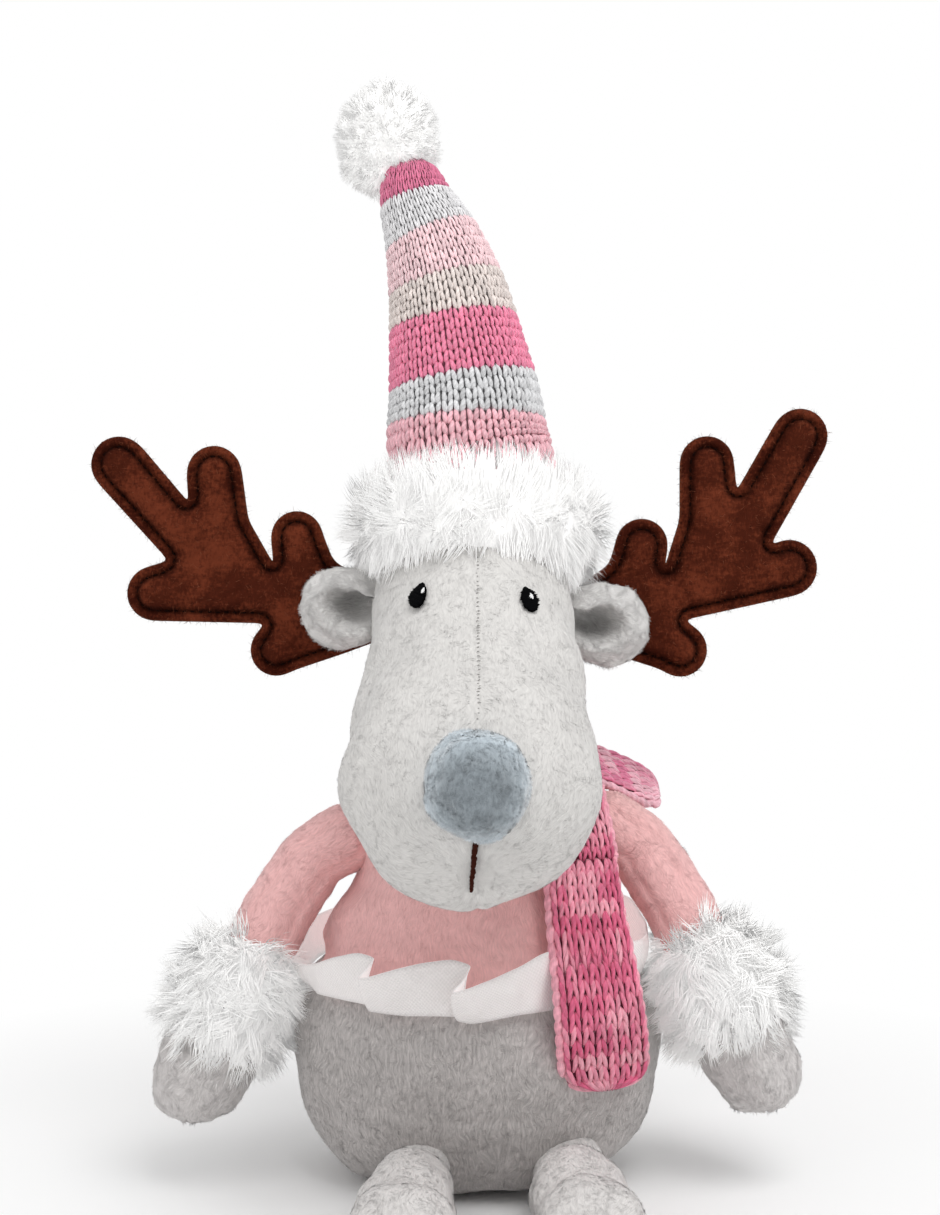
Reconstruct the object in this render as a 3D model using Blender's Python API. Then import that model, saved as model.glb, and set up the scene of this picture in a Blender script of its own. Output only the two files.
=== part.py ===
"""Plush reindeer with a striped knitted hat, felt antlers, a scarf and a ruffled ribbon.

Metres, +Z up. The toy sits on z = 0, faces -Y, and its own left side is +X.
The origin is the middle of the flat seat.
"""
import math

import bmesh
import bpy
import numpy as np
from mathutils import Matrix, Vector

# Fits shared by every piece
GAP = 0.0004            # clearance between two touching pieces
SOCKET_GAP = 0.0005     # clearance round a ball that turns in its socket
OVERRUN = 0.004         # how far a cutter runs past what it cuts
PLUSH_WALL = 0.0016     # thickness of the plush cover fabric
FELT_WALL = 0.0014      # thickness of one antler felt layer

# Body, one pear-shaped form cut into a grey seat and a pink chest at the waist seam
BODY_HEIGHT = 0.138
BELLY_WIDTH = 0.127
BELLY_DEPTH = 0.113
BODY_LEAN = 0.0085      # how far back the neck sits behind the seat's middle
BODY_SEGMENTS = 20
# height share, width share, depth share, lean share
SEAT_SHARES = (
    (0.000, 0.46, 0.46, 0.00), (0.020, 0.62, 0.62, 0.00), (0.072, 0.795, 0.79, 0.00),
    (0.160, 0.925, 0.925, 0.02), (0.262, 0.985, 0.985, 0.05), (0.362, 1.00, 1.00, 0.10),
    (0.440, 0.975, 0.975, 0.16), (0.490, 0.915, 0.92, 0.22),
)
CHEST_SHARES = (
    (0.580, 0.815, 0.815, 0.34), (0.655, 0.755, 0.755, 0.44), (0.725, 0.660, 0.690, 0.54),
    (0.800, 0.630, 0.620, 0.66), (0.870, 0.600, 0.525, 0.78), (0.930, 0.500, 0.425, 0.88),
    (0.980, 0.395, 0.325, 0.97), (1.000, 0.310, 0.240, 1.00),
)
WAIST_SHARES = (0.845, 0.850, 0.26)     # width, depth and lean at the waist seam
WAIST_HEIGHT_SHARE = 0.5145

PELLET_BAG_WIDTH = 0.056
PELLET_BAG_HEIGHT = 0.020

# Neck: a firm roll of filling with a round head, seated in a hollow under the head
NECK_BALL_RADIUS = 0.0165
NECK_STEM_RADIUS = 0.0122
NECK_RISE = 0.0185      # middle of the round head above the neck seam

# Head: an egg-shaped form whose long axis dips towards the nose
HEAD_LENGTH = 0.171
HEAD_WIDTH = 0.081
HEAD_DEPTH = 0.073
HEAD_DIP = math.radians(37)
CROWN_RISE = 0.041      # middle of the crown above the neck's round head
CROWN_SET_BACK = -0.003
CROWN_SHARE = 0.21      # where the crown's middle lies along the head
HEAD_SEGMENTS = 20
# length share, width share, depth share
HEAD_SHARES = (
    (0.000, 0.10, 0.11), (0.020, 0.38, 0.42), (0.060, 0.61, 0.69), (0.125, 0.79, 0.90),
    (0.210, 0.865, 1.00), (0.320, 0.865, 0.985), (0.440, 0.870, 0.950), (0.560, 0.915, 0.950),
    (0.665, 0.970, 0.975), (0.760, 1.00, 1.00), (0.845, 0.965, 0.960), (0.910, 0.850, 0.850),
    (0.957, 0.660, 0.665), (0.986, 0.420, 0.425), (1.000, 0.150, 0.155),
)

NOSE_RADIUS = 0.0155
NOSE_STAND = 0.0045     # middle of the nose ball outside the muzzle's skin
NOSE_ANGLE = math.radians(4)            # above level, seen from the muzzle's middle
MOUTH_WIDTH = 0.0012
MOUTH_THICKNESS = 0.0008
MOUTH_ANGLES = tuple(math.radians(a) for a in (-24, -29, -34, -39, -44))

EYE_WIDTH = 0.0058
EYE_HEIGHT = 0.0116
EYE_THICKNESS = 0.0008
EYE_SHARE = 0.445       # along the head
EYE_ANGLE = math.radians(31)            # from the top of the head round to the side
EYE_TILT = math.radians(22)
GLINT_WIDTH = 0.0016
GLINT_THICKNESS = 0.0004
GLINT_UP = 0.0020       # glint's middle above the eye's

# Ears: two cupped plush layers sewn to the side of the head
EAR_LENGTH = 0.0178     # from the hinge line to the tip
EAR_WIDTH = 0.0250
EAR_LAYER = 0.0024
EAR_GAP = 0.0008
EAR_CUP = 0.0070        # depth of the cup
EAR_ROOT_RADIUS = 0.0060                # the sewn root is round about the hinge line
EAR_ROOT_CLEAR = 0.0004
# distance share of the root radius, or of the length past it, width share, cup share
EAR_SHARES = (
    (-1.00, 0.10, 0.00), (-0.80, 0.275, 0.02), (-0.42, 0.430, 0.10), (0.04, 0.57, 0.26),
    (0.24, 0.80, 0.55), (0.50, 1.00, 0.80), (0.73, 0.94, 0.70), (0.91, 0.63, 0.32),
    (1.00, 0.24, 0.00),
)
EAR_ROOT_FORWARD = 0.0120
EAR_BELOW_CROWN_RIGHT = 0.0045
EAR_BELOW_CROWN_LEFT = 0.0085
EAR_DROOP_RIGHT = math.radians(5)
EAR_DROOP_LEFT = math.radians(17)

# Antlers: two felt layers sewn round the edge, puffed between by filling
ANTLER_ROOT_CLEAR = 0.0014              # hinge line outside the head's skin
ANTLER_EDGE_ROUNDING = 0.0010
ANTLER_ROOT_BACK = 0.0085
ANTLER_ROOT_BELOW_CROWN = 0.0065
ANTLER_FLANGE = 0.0036  # flat sewn border
ANTLER_PUFF = 0.0032    # how far each face stands proud of its border
ANTLER_ROUNDING = 0.0016
ANTLER_WIDTH = 0.100     # sideways reach that the outlines' shares are of
TINE_STEPS = 4          # sides of each round tine end
# Round ends as sideways share, up share, radius share and heading in degrees, plain corners as
# two shares, in order round the edge from the root's upper corner
RIGHT_ANTLER_OUTLINE_SHARES = (
    (-0.010, 0.085), (0.155, 0.185), (0.283, 0.270, 0.092, 85), (0.365, 0.172), (0.455, 0.330),
    (0.575, 0.495, 0.097, 83), (0.665, 0.390), (0.910, 0.525, 0.100, 52), (0.735, 0.185),
    (0.785, 0.070, 0.098, -6), (0.395, -0.036), (0.355, -0.130, 0.093, -38), (0.110, -0.140),
    (-0.010, -0.095),
)
LEFT_ANTLER_OUTLINE_SHARES = (
    (-0.010, 0.085), (0.120, 0.170), (0.236, 0.242, 0.093, 88), (0.317, 0.160), (0.370, 0.330),
    (0.466, 0.530, 0.096, 88), (0.571, 0.431), (0.795, 0.625, 0.098, 61), (0.690, 0.240),
    (0.755, 0.160, 0.101, 8), (0.387, -0.024), (0.372, -0.130, 0.096, -44), (0.120, -0.140),
    (-0.010, -0.095),
)

# Hat: a knitted cone on a fur band, with a pom-pom
BAND_HALF_THICKNESS = 0.0105
BAND_HALF_HEIGHT = 0.0155
BAND_WIDTH = 0.087      # across the outside of the fur
BAND_DEPTH = 0.090
BAND_ABOVE_CROWN = 0.0235
BAND_BACK = 0.002
BAND_TILT = math.radians(11)
BAND_SEGMENTS = 22
HAT_HEIGHT = 0.1128     # from the pivot to the tip
HAT_BASE_RADIUS = 0.0280
HAT_SIDE_DROOP = 0.0233 # how far the tip leans to the toy's right
HAT_LEAN_BACK = 0.0080
HAT_WALL = 0.0022
HAT_ABOVE_CROWN = 0.0415
HAT_BACK = 0.0020
HAT_SEGMENTS = 18
HAT_ROOM_DEPTH = 0.0070  # the band opens out into a funnel from this far under the pivot
HAT_ROOM_FLARE = math.radians(20)
HAT_SKIRT_ANGLE = math.radians(12)      # how far the round lower edge runs under the pivot
# height share, radius share, droop share, lean share
HAT_SHARES = (
    (0.066, 0.993, 0.10, 0.05), (0.229, 0.929, 0.167, 0.21), (0.395, 0.829, 0.288, 0.38),
    (0.561, 0.729, 0.42, 0.55), (0.725, 0.596, 0.644, 0.72), (0.892, 0.414, 0.948, 0.90),
    (0.962, 0.320, 0.985, 0.97), (0.990, 0.200, 0.995, 0.99), (1.000, 0.070, 1.00, 1.00),
)
POMPOM_RADIUS = 0.0180
POMPOM_HALF_HEIGHT = 0.0205
POMPOM_OUT = 0.0080     # middle of the pom-pom past the hat's tip, sideways
POMPOM_UP = 0.0075
POMPOM_BACK = 0.0060
POMPOM_HOLLOW_ANGLE = math.radians(50)  # half angle of the parting round the hat's tip
CORD_RADIUS = 0.0009
CORD_LOOP_RADIUS = 0.0030

# Arms
SHOULDER_RADIUS = 0.0135
SHOULDER_OUT = 0.0033   # shoulder's middle outside the chest's skin
SHOULDER_BELOW_NECK = 0.0235            # shoulder's middle below the neck seam
SHOULDER_RISE_LEFT = 0.0040             # the toy's left arm is sewn on higher
SHOULDER_BACK = 0.0015
HAND_OUT = 0.0330       # fingertip outside the widest part of the belly
ARM_DROP = 0.0935
ARM_FORWARD = 0.0220
SLEEVE_RADIUS = 0.0120
HAND_RADIUS = 0.0160
CUFF_RADIUS = 0.0213
CUFF_CLEAR = 0.0005
ARM_SEGMENTS = 12
# out share, drop share, forward share, radius share
SLEEVE_SHARES = (
    (0.215, 0.070, 0.08, 0.900), (0.330, 0.150, 0.22, 0.990), (0.410, 0.220, 0.34, 1.000),
    (0.485, 0.290, 0.46, 1.000), (0.580, 0.395, 0.60, 1.000), (0.655, 0.485, 0.72, 1.000),
)
HAND_SHARES = (
    (0.680, 0.515, 0.75, 0.740), (0.750, 0.600, 0.82, 0.830), (0.840, 0.720, 0.90, 0.980),
    (0.920, 0.835, 0.95, 1.000), (0.965, 0.910, 0.98, 0.860), (0.990, 0.970, 0.99, 0.560),
    (1.000, 1.000, 1.00, 0.160),
)
CUFF_SHARES = (
    (0.560, 0.370, 0.58, 0.720), (0.620, 0.440, 0.67, 0.930), (0.710, 0.545, 0.78, 1.000),
    (0.795, 0.655, 0.86, 0.980), (0.850, 0.735, 0.91, 0.800),
)

# Legs
HIP_SPACING = 0.049
HIP_SHIFT = 0.0055      # the legs sit a little to the toy's left
HIP_HEIGHT = 0.0130
HIP_OUT = 0.0024        # hip's middle outside the seat's skin
HIP_RADIUS = 0.0108
LEG_LENGTH = 0.075
LEG_HALF_WIDTH = 0.0148
LEG_HALF_HEIGHT = 0.0125
LEG_SPLAY = math.radians(2.5)
LEG_SEGMENTS = 12
# length share, width share, height share, rise share of the half height
LEG_SHARES = (
    (0.120, 0.71, 0.76, 0.00), (0.220, 0.88, 0.91, 0.00), (0.350, 0.98, 1.00, 0.02),
    (0.560, 1.00, 1.02, 0.03), (0.730, 1.02, 1.05, 0.06), (0.860, 1.04, 1.09, 0.10),
    (0.935, 0.94, 0.99, 0.12), (0.980, 0.62, 0.66, 0.13), (1.000, 0.20, 0.22, 0.14),
)

# Ribbon round the waist, gathered into waves
RIBBON_WIDTH = 0.0150
RIBBON_THICKNESS = 0.0009
RIBBON_WAVE = 0.0042    # how far a wave stands out in front
RIBBON_SIDE_SHARE = 0.12                # the waves are pressed flatter under the arms
RIBBON_WAVES = 11
RIBBON_SEGMENTS = 66
RIBBON_RISE = 0.0060    # how much higher the ribbon runs at the back

# Scarf
SCARF_THICKNESS = 0.0052
SCARF_WIDTH = 0.0295
WRAP_HALF_THICKNESS = 0.0042
WRAP_HALF_HEIGHT = 0.0072
WRAP_FRONT_DROP = 0.0215                # middle of the wrap below the neck seam
WRAP_SIDE_DROP = -0.0005
WRAP_BACK_DROP = 0.0010
WRAP_SIDE_REACH = 0.0275                # middle of the wrap beside the neck
WRAP_OUT = 0.0030       # middle of the wrap outside the chest and back
WRAP_DIP_POWER = 1.4     # how soon the wrap dips from the sides to the front
WRAP_SEGMENTS = 22
TAIL_TURN = math.radians(24)            # the front tail faces this far round to the left
TAIL_TOP_IN = 0.0290    # middle of the tail inside the widest part of the belly
TAIL_END_IN = 0.0215
TAIL_TOP_DROP = 0.0275  # below the neck seam
TAIL_LENGTH = 0.0720
TAIL_CLEAR = -0.0010    # the seat's facets lie inside its true curve
TAIL_STATIONS = 9
TAIL_TOP_WIDTH_SHARE = 0.80
SHOULDER_TAIL_LENGTH = 0.036
SHOULDER_TAIL_WIDTH = 0.0250
SHOULDER_TAIL_SIDE = 0.0335
SHOULDER_TAIL_BACK = 0.0162
SHOULDER_TAIL_RISE = 0.0018              # above the neck seam
SHOULDER_TAIL_DIPS = (8, 16, 28, 32, 33, 34)        # slope of each step in degrees
SHOULDER_TAIL_ROLL = math.radians(27)

BALL_RINGS = 4
UP = Vector((0, 0, 1))
RIGHT_SIDE = -1
LEFT_SIDE = 1
SIDE_NAMES = {RIGHT_SIDE: "right", LEFT_SIDE: "left"}

PALE_GREY = (0.76, 0.75, 0.735)
MID_GREY = (0.60, 0.59, 0.58)
PINK = (0.86, 0.52, 0.54)
BROWN = (0.20, 0.055, 0.022)
WHITE = (0.93, 0.92, 0.91)
KNIT_PINK = (0.78, 0.24, 0.38)
NOSE_GREY = (0.36, 0.42, 0.48)
BLACK = (0.012, 0.012, 0.013)
FILLING = (0.92, 0.92, 0.90)
CLOTH = (0.80, 0.78, 0.72)


def clear_scene():
    for old in list(bpy.data.objects):
        bpy.data.objects.remove(old, do_unlink=True)


def material(name, colour, roughness=0.9):
    made = bpy.data.materials.get(name)
    if made is None:
        made = bpy.data.materials.new(name)
        made.use_nodes = True
        shader = made.node_tree.nodes["Principled BSDF"]
        shader.inputs["Base Color"].default_value = (*colour, 1)
        shader.inputs["Roughness"].default_value = roughness
        shader.inputs["Metallic"].default_value = 0.0
    return made


def empty(name, place, parent=None):
    """A joint's empty, with its origin on the joint's axis."""
    made = bpy.data.objects.new(name, None)
    bpy.context.scene.collection.objects.link(made)
    made.matrix_world = Matrix.Translation(place)
    if parent is not None:
        bpy.context.view_layer.update()
        made.parent = parent
        made.matrix_parent_inverse = parent.matrix_world.inverted()
    return made


def add_mesh(name, points, faces, colour=None, parent=None):
    """One object from world points and faces, with its origin moved onto its parent's."""
    origin = parent.matrix_world.translation.copy() if parent else Vector()
    mesh = bpy.data.meshes.new(name)
    mesh.from_pydata([Vector(p) - origin for p in points], [], faces)
    mesh.validate()
    mesh.shade_smooth()
    mesh.set_sharp_from_angle(angle=math.radians(40))
    made = bpy.data.objects.new(name, mesh)
    bpy.context.scene.collection.objects.link(made)
    made.location = origin
    if parent is not None:
        bpy.context.view_layer.update()
        made.parent = parent
        made.matrix_parent_inverse = parent.matrix_world.inverted()
    if colour is not None:
        made.data.materials.append(material(*colour))
    return made


def ring(centre, side, up, half_side, half_up, count):
    """An ellipse of count points round a centre."""
    angles = np.arange(count) * (2 * math.pi / count)
    across = np.outer(np.cos(angles) * half_side, side)
    return np.array(centre) + across + np.outer(np.sin(angles) * half_up, up)


def rings_along(centres, half_sides, half_ups, side_hint, count):
    """Ellipses strung along a path, each square to it, as a grid (ring, point, xyz)."""
    places = [Vector(c) for c in centres]
    grid = []
    for k, place in enumerate(places):
        ahead = places[min(k + 1, len(places) - 1)]
        behind = places[max(k - 1, 0)]
        along = (ahead - behind).normalized()
        side = Vector(side_hint) - along * along.dot(Vector(side_hint))
        side.normalize()
        grid.append(ring(place, side, along.cross(side), half_sides[k], half_ups[k], count))
    return np.array(grid)


def grid_normals(grid):
    """Unit normals of a grid, pointing away from the middle of each ring."""
    along = np.gradient(grid, axis=0)
    around = np.roll(grid, -1, axis=1) - np.roll(grid, 1, axis=1)
    normals = np.cross(around, along)
    normals /= np.maximum(np.linalg.norm(normals, axis=2, keepdims=True), 1e-12)
    outward = grid - grid.mean(axis=1, keepdims=True)
    middle = len(grid) // 2
    if (normals[middle] * outward[middle]).sum() < 0:
        normals = -normals
    return normals


def offset_grid(grid, distance):
    """The grid moved along its normals."""
    return grid + grid_normals(grid) * distance


def skin_faces(rings, count, start=0, cap_first=True, cap_last=True):
    """Quads over a grid of rings, with flat end caps."""
    faces = []
    for i in range(rings - 1):
        for j in range(count):
            a = start + i * count + j
            b = start + i * count + (j + 1) % count
            faces.append((a, b, b + count, a + count))
    if cap_first:
        faces.append(tuple(start + j for j in reversed(range(count))))
    if cap_last:
        faces.append(tuple(start + (rings - 1) * count + j for j in range(count)))
    return faces


def volume_of(points, faces):
    total = 0.0
    for face in faces:
        a = points[face[0]]
        for k in range(1, len(face) - 1):
            total += float(np.dot(a, np.cross(points[face[k]], points[face[k + 1]])))
    return total


def face_outward(points, faces):
    """The faces, all turned round if they point into the solid."""
    if volume_of(points, faces) < 0:
        return [tuple(reversed(f)) for f in faces]
    return faces


def solid(name, grid, colour=None, parent=None):
    """A closed solid over a grid of rings."""
    points = grid.reshape(-1, 3)
    faces = face_outward(points, skin_faces(len(grid), grid.shape[1]))
    return add_mesh(name, points, faces, colour, parent)


def shell(name, outer, inner, colour, parent=None, open_first=False, open_last=False):
    """A wall between two grids of rings. An open end is bridged; a closed one is capped twice."""
    rings, count = outer.shape[:2]
    points = np.concatenate([outer.reshape(-1, 3), inner.reshape(-1, 3)])
    shift = rings * count
    outside = skin_faces(rings, count, 0, True, True)
    turned = volume_of(points, outside) < 0
    outside = skin_faces(rings, count, 0, not open_first, not open_last)
    inside = skin_faces(rings, count, shift, not open_first, not open_last)
    inside = [tuple(reversed(f)) for f in inside]
    rims = []
    for k, wanted in ((0, open_first), (rings - 1, open_last)):
        for j in range(count if wanted else 0):
            a, b = k * count + j, k * count + (j + 1) % count
            rims.append((a, a + shift, b + shift, b) if k == 0 else (a, b, b + shift, a + shift))
    faces = outside + inside + rims
    if turned:
        faces = [tuple(reversed(f)) for f in faces]
    made = add_mesh(name, points, faces, colour, parent)
    turn_faces_right(made)
    return made


def turn_faces_right(made):
    """Recalculates the normals of an open-ended wall, which is one connected skin."""
    work = bmesh.new()
    work.from_mesh(made.data)
    bmesh.ops.triangulate(work, faces=[f for f in work.faces if len(f.verts) > 4])
    work.to_mesh(made.data)
    work.free()


def ball_grid(centre, radius, count, rings, half_height=None):
    """A ball as rings from its lower pole to its upper one, taller or lower if half_height says so."""
    angles = (np.arange(rings * 2) + 0.5) * (math.pi / (rings * 2))
    places = [Vector(centre) - UP * ((half_height or radius) * math.cos(a)) for a in angles]
    sizes = [radius * math.sin(a) for a in angles]
    grid = [ring(p, (1, 0, 0), (0, 1, 0), s, s, count) for p, s in zip(places, sizes)]
    return np.array(grid)


def ball_cutter(name, centre, radius, count=16, rings=4):
    """A hidden ball for a socket. Its facets, not only its corners, stay outside the radius."""
    flat_share = math.cos(math.pi / count) * math.cos(math.pi / (4 * rings))
    return hide_cutter(solid(name, ball_grid(centre, radius / flat_share, count, rings)))


def hide_cutter(made):
    made.hide_render = True
    made.display_type = "WIRE"
    return made


def cut(target, *cutters):
    for cutter in cutters:
        modifier = target.modifiers.new("cut_" + cutter.name, "BOOLEAN")
        modifier.operation = "DIFFERENCE"
        modifier.solver = "EXACT"
        modifier.object = cutter
    return target


def body_stations(shares):
    """Middle, half width and half depth of the body at each station's height."""
    stations = []
    for height, width, depth, lean in shares:
        stations.append(((0.0, BODY_LEAN * lean, BODY_HEIGHT * height),
                         BELLY_WIDTH / 2 * width, BELLY_DEPTH / 2 * depth))
    return stations


def waist_height():
    return BODY_HEIGHT * WAIST_HEIGHT_SHARE


def waist_station():
    width, depth, lean = WAIST_SHARES
    return ((0.0, BODY_LEAN * lean, waist_height()), BELLY_WIDTH / 2 * width, BELLY_DEPTH / 2 * depth)


def body_grid(stations):
    grid = [ring(c, (1, 0, 0), (0, 1, 0), w, d, BODY_SEGMENTS) for c, w, d in stations]
    return np.array(grid)


def body_at(height):
    """Middle, half width and half depth of the body at any height."""
    stations = body_stations(SEAT_SHARES) + [waist_station()] + body_stations(CHEST_SHARES)
    heights = [s[0][2] for s in stations]
    middle = float(np.interp(height, heights, [s[0][1] for s in stations]))
    half_width = float(np.interp(height, heights, [s[1] for s in stations]))
    half_depth = float(np.interp(height, heights, [s[2] for s in stations]))
    return middle, half_width, half_depth


def inner_body_grid(stations, inset):
    """The body's rings drawn in by a wall, kept at their heights."""
    grid = []
    for centre, width, depth in stations:
        grid.append(ring(centre, (1, 0, 0), (0, 1, 0), width - inset, depth - inset, BODY_SEGMENTS))
    return np.array(grid)


def build_body(root):
    seat = body_stations(SEAT_SHARES) + [waist_station()]
    chest = [waist_station()] + body_stations(CHEST_SHARES)
    outer_seat = body_grid(seat)
    inner_seat = inner_body_grid(seat, PLUSH_WALL)
    inner_seat[0, :, 2] = PLUSH_WALL
    inner_seat[1, :, 2] = np.maximum(inner_seat[1, :, 2], PLUSH_WALL + GAP)
    seat_cover = shell("seat_cover", outer_seat, inner_seat, ("plush_mid_grey", MID_GREY), root,
                       open_last=True)
    outer_chest = body_grid(chest)
    outer_chest[0, :, 2] += GAP
    inner_chest = inner_body_grid(chest, PLUSH_WALL)
    inner_chest[0, :, 2] += GAP
    chest_cover = shell("chest_cover", outer_chest, inner_chest, ("plush_pink", PINK), root,
                        open_first=True, open_last=True)
    filling = inner_body_grid(seat + body_stations(CHEST_SHARES), PLUSH_WALL + GAP)
    filling[0, :, 2] = PLUSH_WALL + GAP
    filling[1, :, 2] = np.maximum(filling[1, :, 2], PLUSH_WALL + GAP * 3)
    body_filling = solid("body_filling", filling, ("filling", FILLING), root)
    bag_floor = PLUSH_WALL + GAP
    half = PELLET_BAG_WIDTH / 2
    rise = [0.0, 0.12, 0.5, 0.85, 1.0]
    sizes = [0.74, 0.93, 1.0, 0.80, 0.40]
    bag = np.array([ring((0, 0, bag_floor + PELLET_BAG_HEIGHT * h), (1, 0, 0), (0, 1, 0),
                         half * s, half * s, 16) for h, s in zip(rise, sizes)])
    solid("pellet_bag", bag, ("bag_cloth", CLOTH), root)
    hollow = np.array([ring((0, 0, bag_floor + PELLET_BAG_HEIGHT * h + GAP), (1, 0, 0), (0, 1, 0),
                            half * s + GAP, half * s + GAP, 16) for h, s in zip(rise, sizes)])
    hollow[0, :, 2] = -OVERRUN
    cut(body_filling, hide_cutter(solid("bag_hollow", hollow)))
    return seat_cover, chest_cover, body_filling


def neck_place():
    return Vector((0, BODY_LEAN, BODY_HEIGHT + NECK_RISE))


def crown_place():
    return neck_place() + Vector((0, CROWN_SET_BACK, CROWN_RISE))


def head_axes():
    """The head's long axis, towards the muzzle, and the direction of its top."""
    along = Vector((0, -math.cos(HEAD_DIP), -math.sin(HEAD_DIP)))
    top = Vector((0, -math.sin(HEAD_DIP), math.cos(HEAD_DIP)))
    return along, top


def head_grid(grow=0.0):
    """The head's rings. Point 0 of a ring is on the toy's left, and a quarter round is its top."""
    along, top = head_axes()
    grid = []
    for place, width, depth in HEAD_SHARES:
        centre = crown_place() + along * (HEAD_LENGTH * (place - CROWN_SHARE))
        grid.append(ring(centre, (1, 0, 0), top, HEAD_WIDTH / 2 * width, HEAD_DEPTH / 2 * depth,
                         HEAD_SEGMENTS))
    grid = np.array(grid)
    return offset_grid(grid, grow) if grow else grid


def head_surface(share, angle):
    """A point of the head's facets and its normal, at a share of its length and an angle from the top."""
    grid, normals = head_grid(), grid_normals(head_grid())
    places = [s[0] for s in HEAD_SHARES]
    row = float(np.interp(share, places, range(len(places))))
    column = (math.pi / 2 - angle) / (2 * math.pi) * HEAD_SEGMENTS
    i, j = min(int(row), len(places) - 2), math.floor(column)
    u, v = row - i, column - j
    corners = ((i, j, (1 - u) * (1 - v)), (i + 1, j, u * (1 - v)),
               (i, j + 1, (1 - u) * v), (i + 1, j + 1, u * v))
    point, normal = np.zeros(3), np.zeros(3)
    for a, b, weight in corners:
        point += grid[a, b % HEAD_SEGMENTS] * weight
        normal += normals[a, b % HEAD_SEGMENTS] * weight
    return Vector(point), Vector(normal).normalized()


def muzzle_outline(angle, stand):
    """A point outside the muzzle in the toy's middle plane, at an angle above level."""
    along, top = head_axes()
    middle = crown_place() + along * (HEAD_LENGTH * (0.76 - CROWN_SHARE))
    grid = head_grid(stand)
    quarter, half = HEAD_SEGMENTS // 4, HEAD_SEGMENTS // 2
    line = list(grid[:, quarter]) + list(grid[::-1, quarter + half])
    ray = Vector((0, -math.cos(angle), math.sin(angle)))
    for a, b in zip(line, line[1:]):
        a, b = Vector(a) - middle, Vector(b) - middle
        side_a = ray.y * a.z - ray.z * a.y
        side_b = ray.y * b.z - ray.z * b.y
        if side_a * side_b <= 0 and a.dot(ray) > 0 and b.dot(ray) > 0:
            share = side_a / (side_a - side_b) if side_a != side_b else 0.0
            return middle + a + (b - a) * share
    return middle + ray * (HEAD_WIDTH / 2)


def build_neck(turning):
    base = Vector((0, BODY_LEAN, BODY_HEIGHT + GAP))
    centre = neck_place()
    low = math.asin(NECK_STEM_RADIUS / NECK_BALL_RADIUS)
    angles = np.linspace(math.pi - low, math.pi * 0.06, BALL_RINGS * 2 - 1)
    places = [base] + [centre + UP * (NECK_BALL_RADIUS * math.cos(a)) for a in angles]
    sizes = [NECK_STEM_RADIUS] + [NECK_BALL_RADIUS * math.sin(a) for a in angles]
    grid = np.array([ring(p, (1, 0, 0), (0, 1, 0), s, s, 16) for p, s in zip(places, sizes)])
    solid("neck_roll", grid, ("filling", FILLING), turning)


def build_head(nodding):
    cover = shell("head_cover", head_grid(), head_grid(-PLUSH_WALL), ("plush_pale_grey", PALE_GREY),
                  nodding)
    filling = solid("head_filling", head_grid(-PLUSH_WALL - GAP), ("filling", FILLING), nodding)
    socket = ball_cutter("neck_socket", neck_place(), NECK_BALL_RADIUS + SOCKET_GAP)
    cut(cover, socket)
    cut(filling, socket)
    nose_centre = muzzle_outline(NOSE_ANGLE, NOSE_STAND)
    nose = solid("nose", ball_grid(nose_centre, NOSE_RADIUS, 20, 5), ("felt_nose", NOSE_GREY), nodding)
    cut(nose, hide_cutter(solid("muzzle_form", head_grid(GAP))))
    build_mouth(nodding)
    for side in (RIGHT_SIDE, LEFT_SIDE):
        build_eye(side, nodding)


def build_mouth(nodding):
    """One line of brown thread down the front of the chin."""
    grid = []
    for angle in MOUTH_ANGLES:
        low, high = (muzzle_outline(angle, GAP + t) for t in (0, MOUTH_THICKNESS))
        half = Vector((MOUTH_WIDTH / 2, 0, 0))
        grid.append([low - half, low + half, high + half, high - half])
    solid("mouth_thread", np.array(grid), ("thread_brown", BROWN), nodding)


def oval_on_head(name, colour, nodding, side, width, height, low, high, up_shift=0.0):
    """A thin oval that follows the head's skin between two heights above it."""
    centre, normal = head_surface(EYE_SHARE, EYE_ANGLE * side)
    toward_top = Vector((0, 0, 1)) - normal * normal.z
    toward_top.normalize()
    across = toward_top.cross(normal)
    turn = Matrix.Rotation(EYE_TILT * side, 3, normal)
    toward_top, across = turn @ toward_top, turn @ across
    centre = centre + toward_top * up_shift
    grid = []
    for height_above, share in ((low, 0.96), (low + (high - low) * 0.6, 1.0), (high, 0.62)):
        grid.append(ring(centre + normal * height_above, across, toward_top,
                         width / 2 * share, height / 2 * share, 16))
    return solid(name, np.array(grid), colour, nodding)


def build_eye(side, nodding):
    name = SIDE_NAMES[side]
    sink = (EYE_HEIGHT / 2) ** 2 / HEAD_WIDTH     # the skin falls away by this under the eye's rim
    oval_on_head("eye_" + name, ("thread_black", BLACK, 0.5), nodding, side, EYE_WIDTH, EYE_HEIGHT,
                 GAP, GAP + sink + EYE_THICKNESS)
    top = GAP + sink + EYE_THICKNESS + GAP
    oval_on_head("eye_glint_" + name, ("thread_white", WHITE), nodding, side, GLINT_WIDTH,
                 GLINT_WIDTH, top, top + GLINT_THICKNESS, GLINT_UP)


def head_side_at(y, z):
    """Half the head's width where its skin meets a given depth and height."""
    along, top = head_axes()
    place = Vector((0, y, z)) - crown_place()
    share = place.dot(along) / HEAD_LENGTH + CROWN_SHARE
    places = [s[0] for s in HEAD_SHARES]
    half_width = HEAD_WIDTH / 2 * float(np.interp(share, places, [s[1] for s in HEAD_SHARES]))
    half_depth = HEAD_DEPTH / 2 * float(np.interp(share, places, [s[2] for s in HEAD_SHARES]))
    return half_width * math.sqrt(max(1 - (place.dot(top) / half_depth) ** 2, 0.0))


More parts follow.
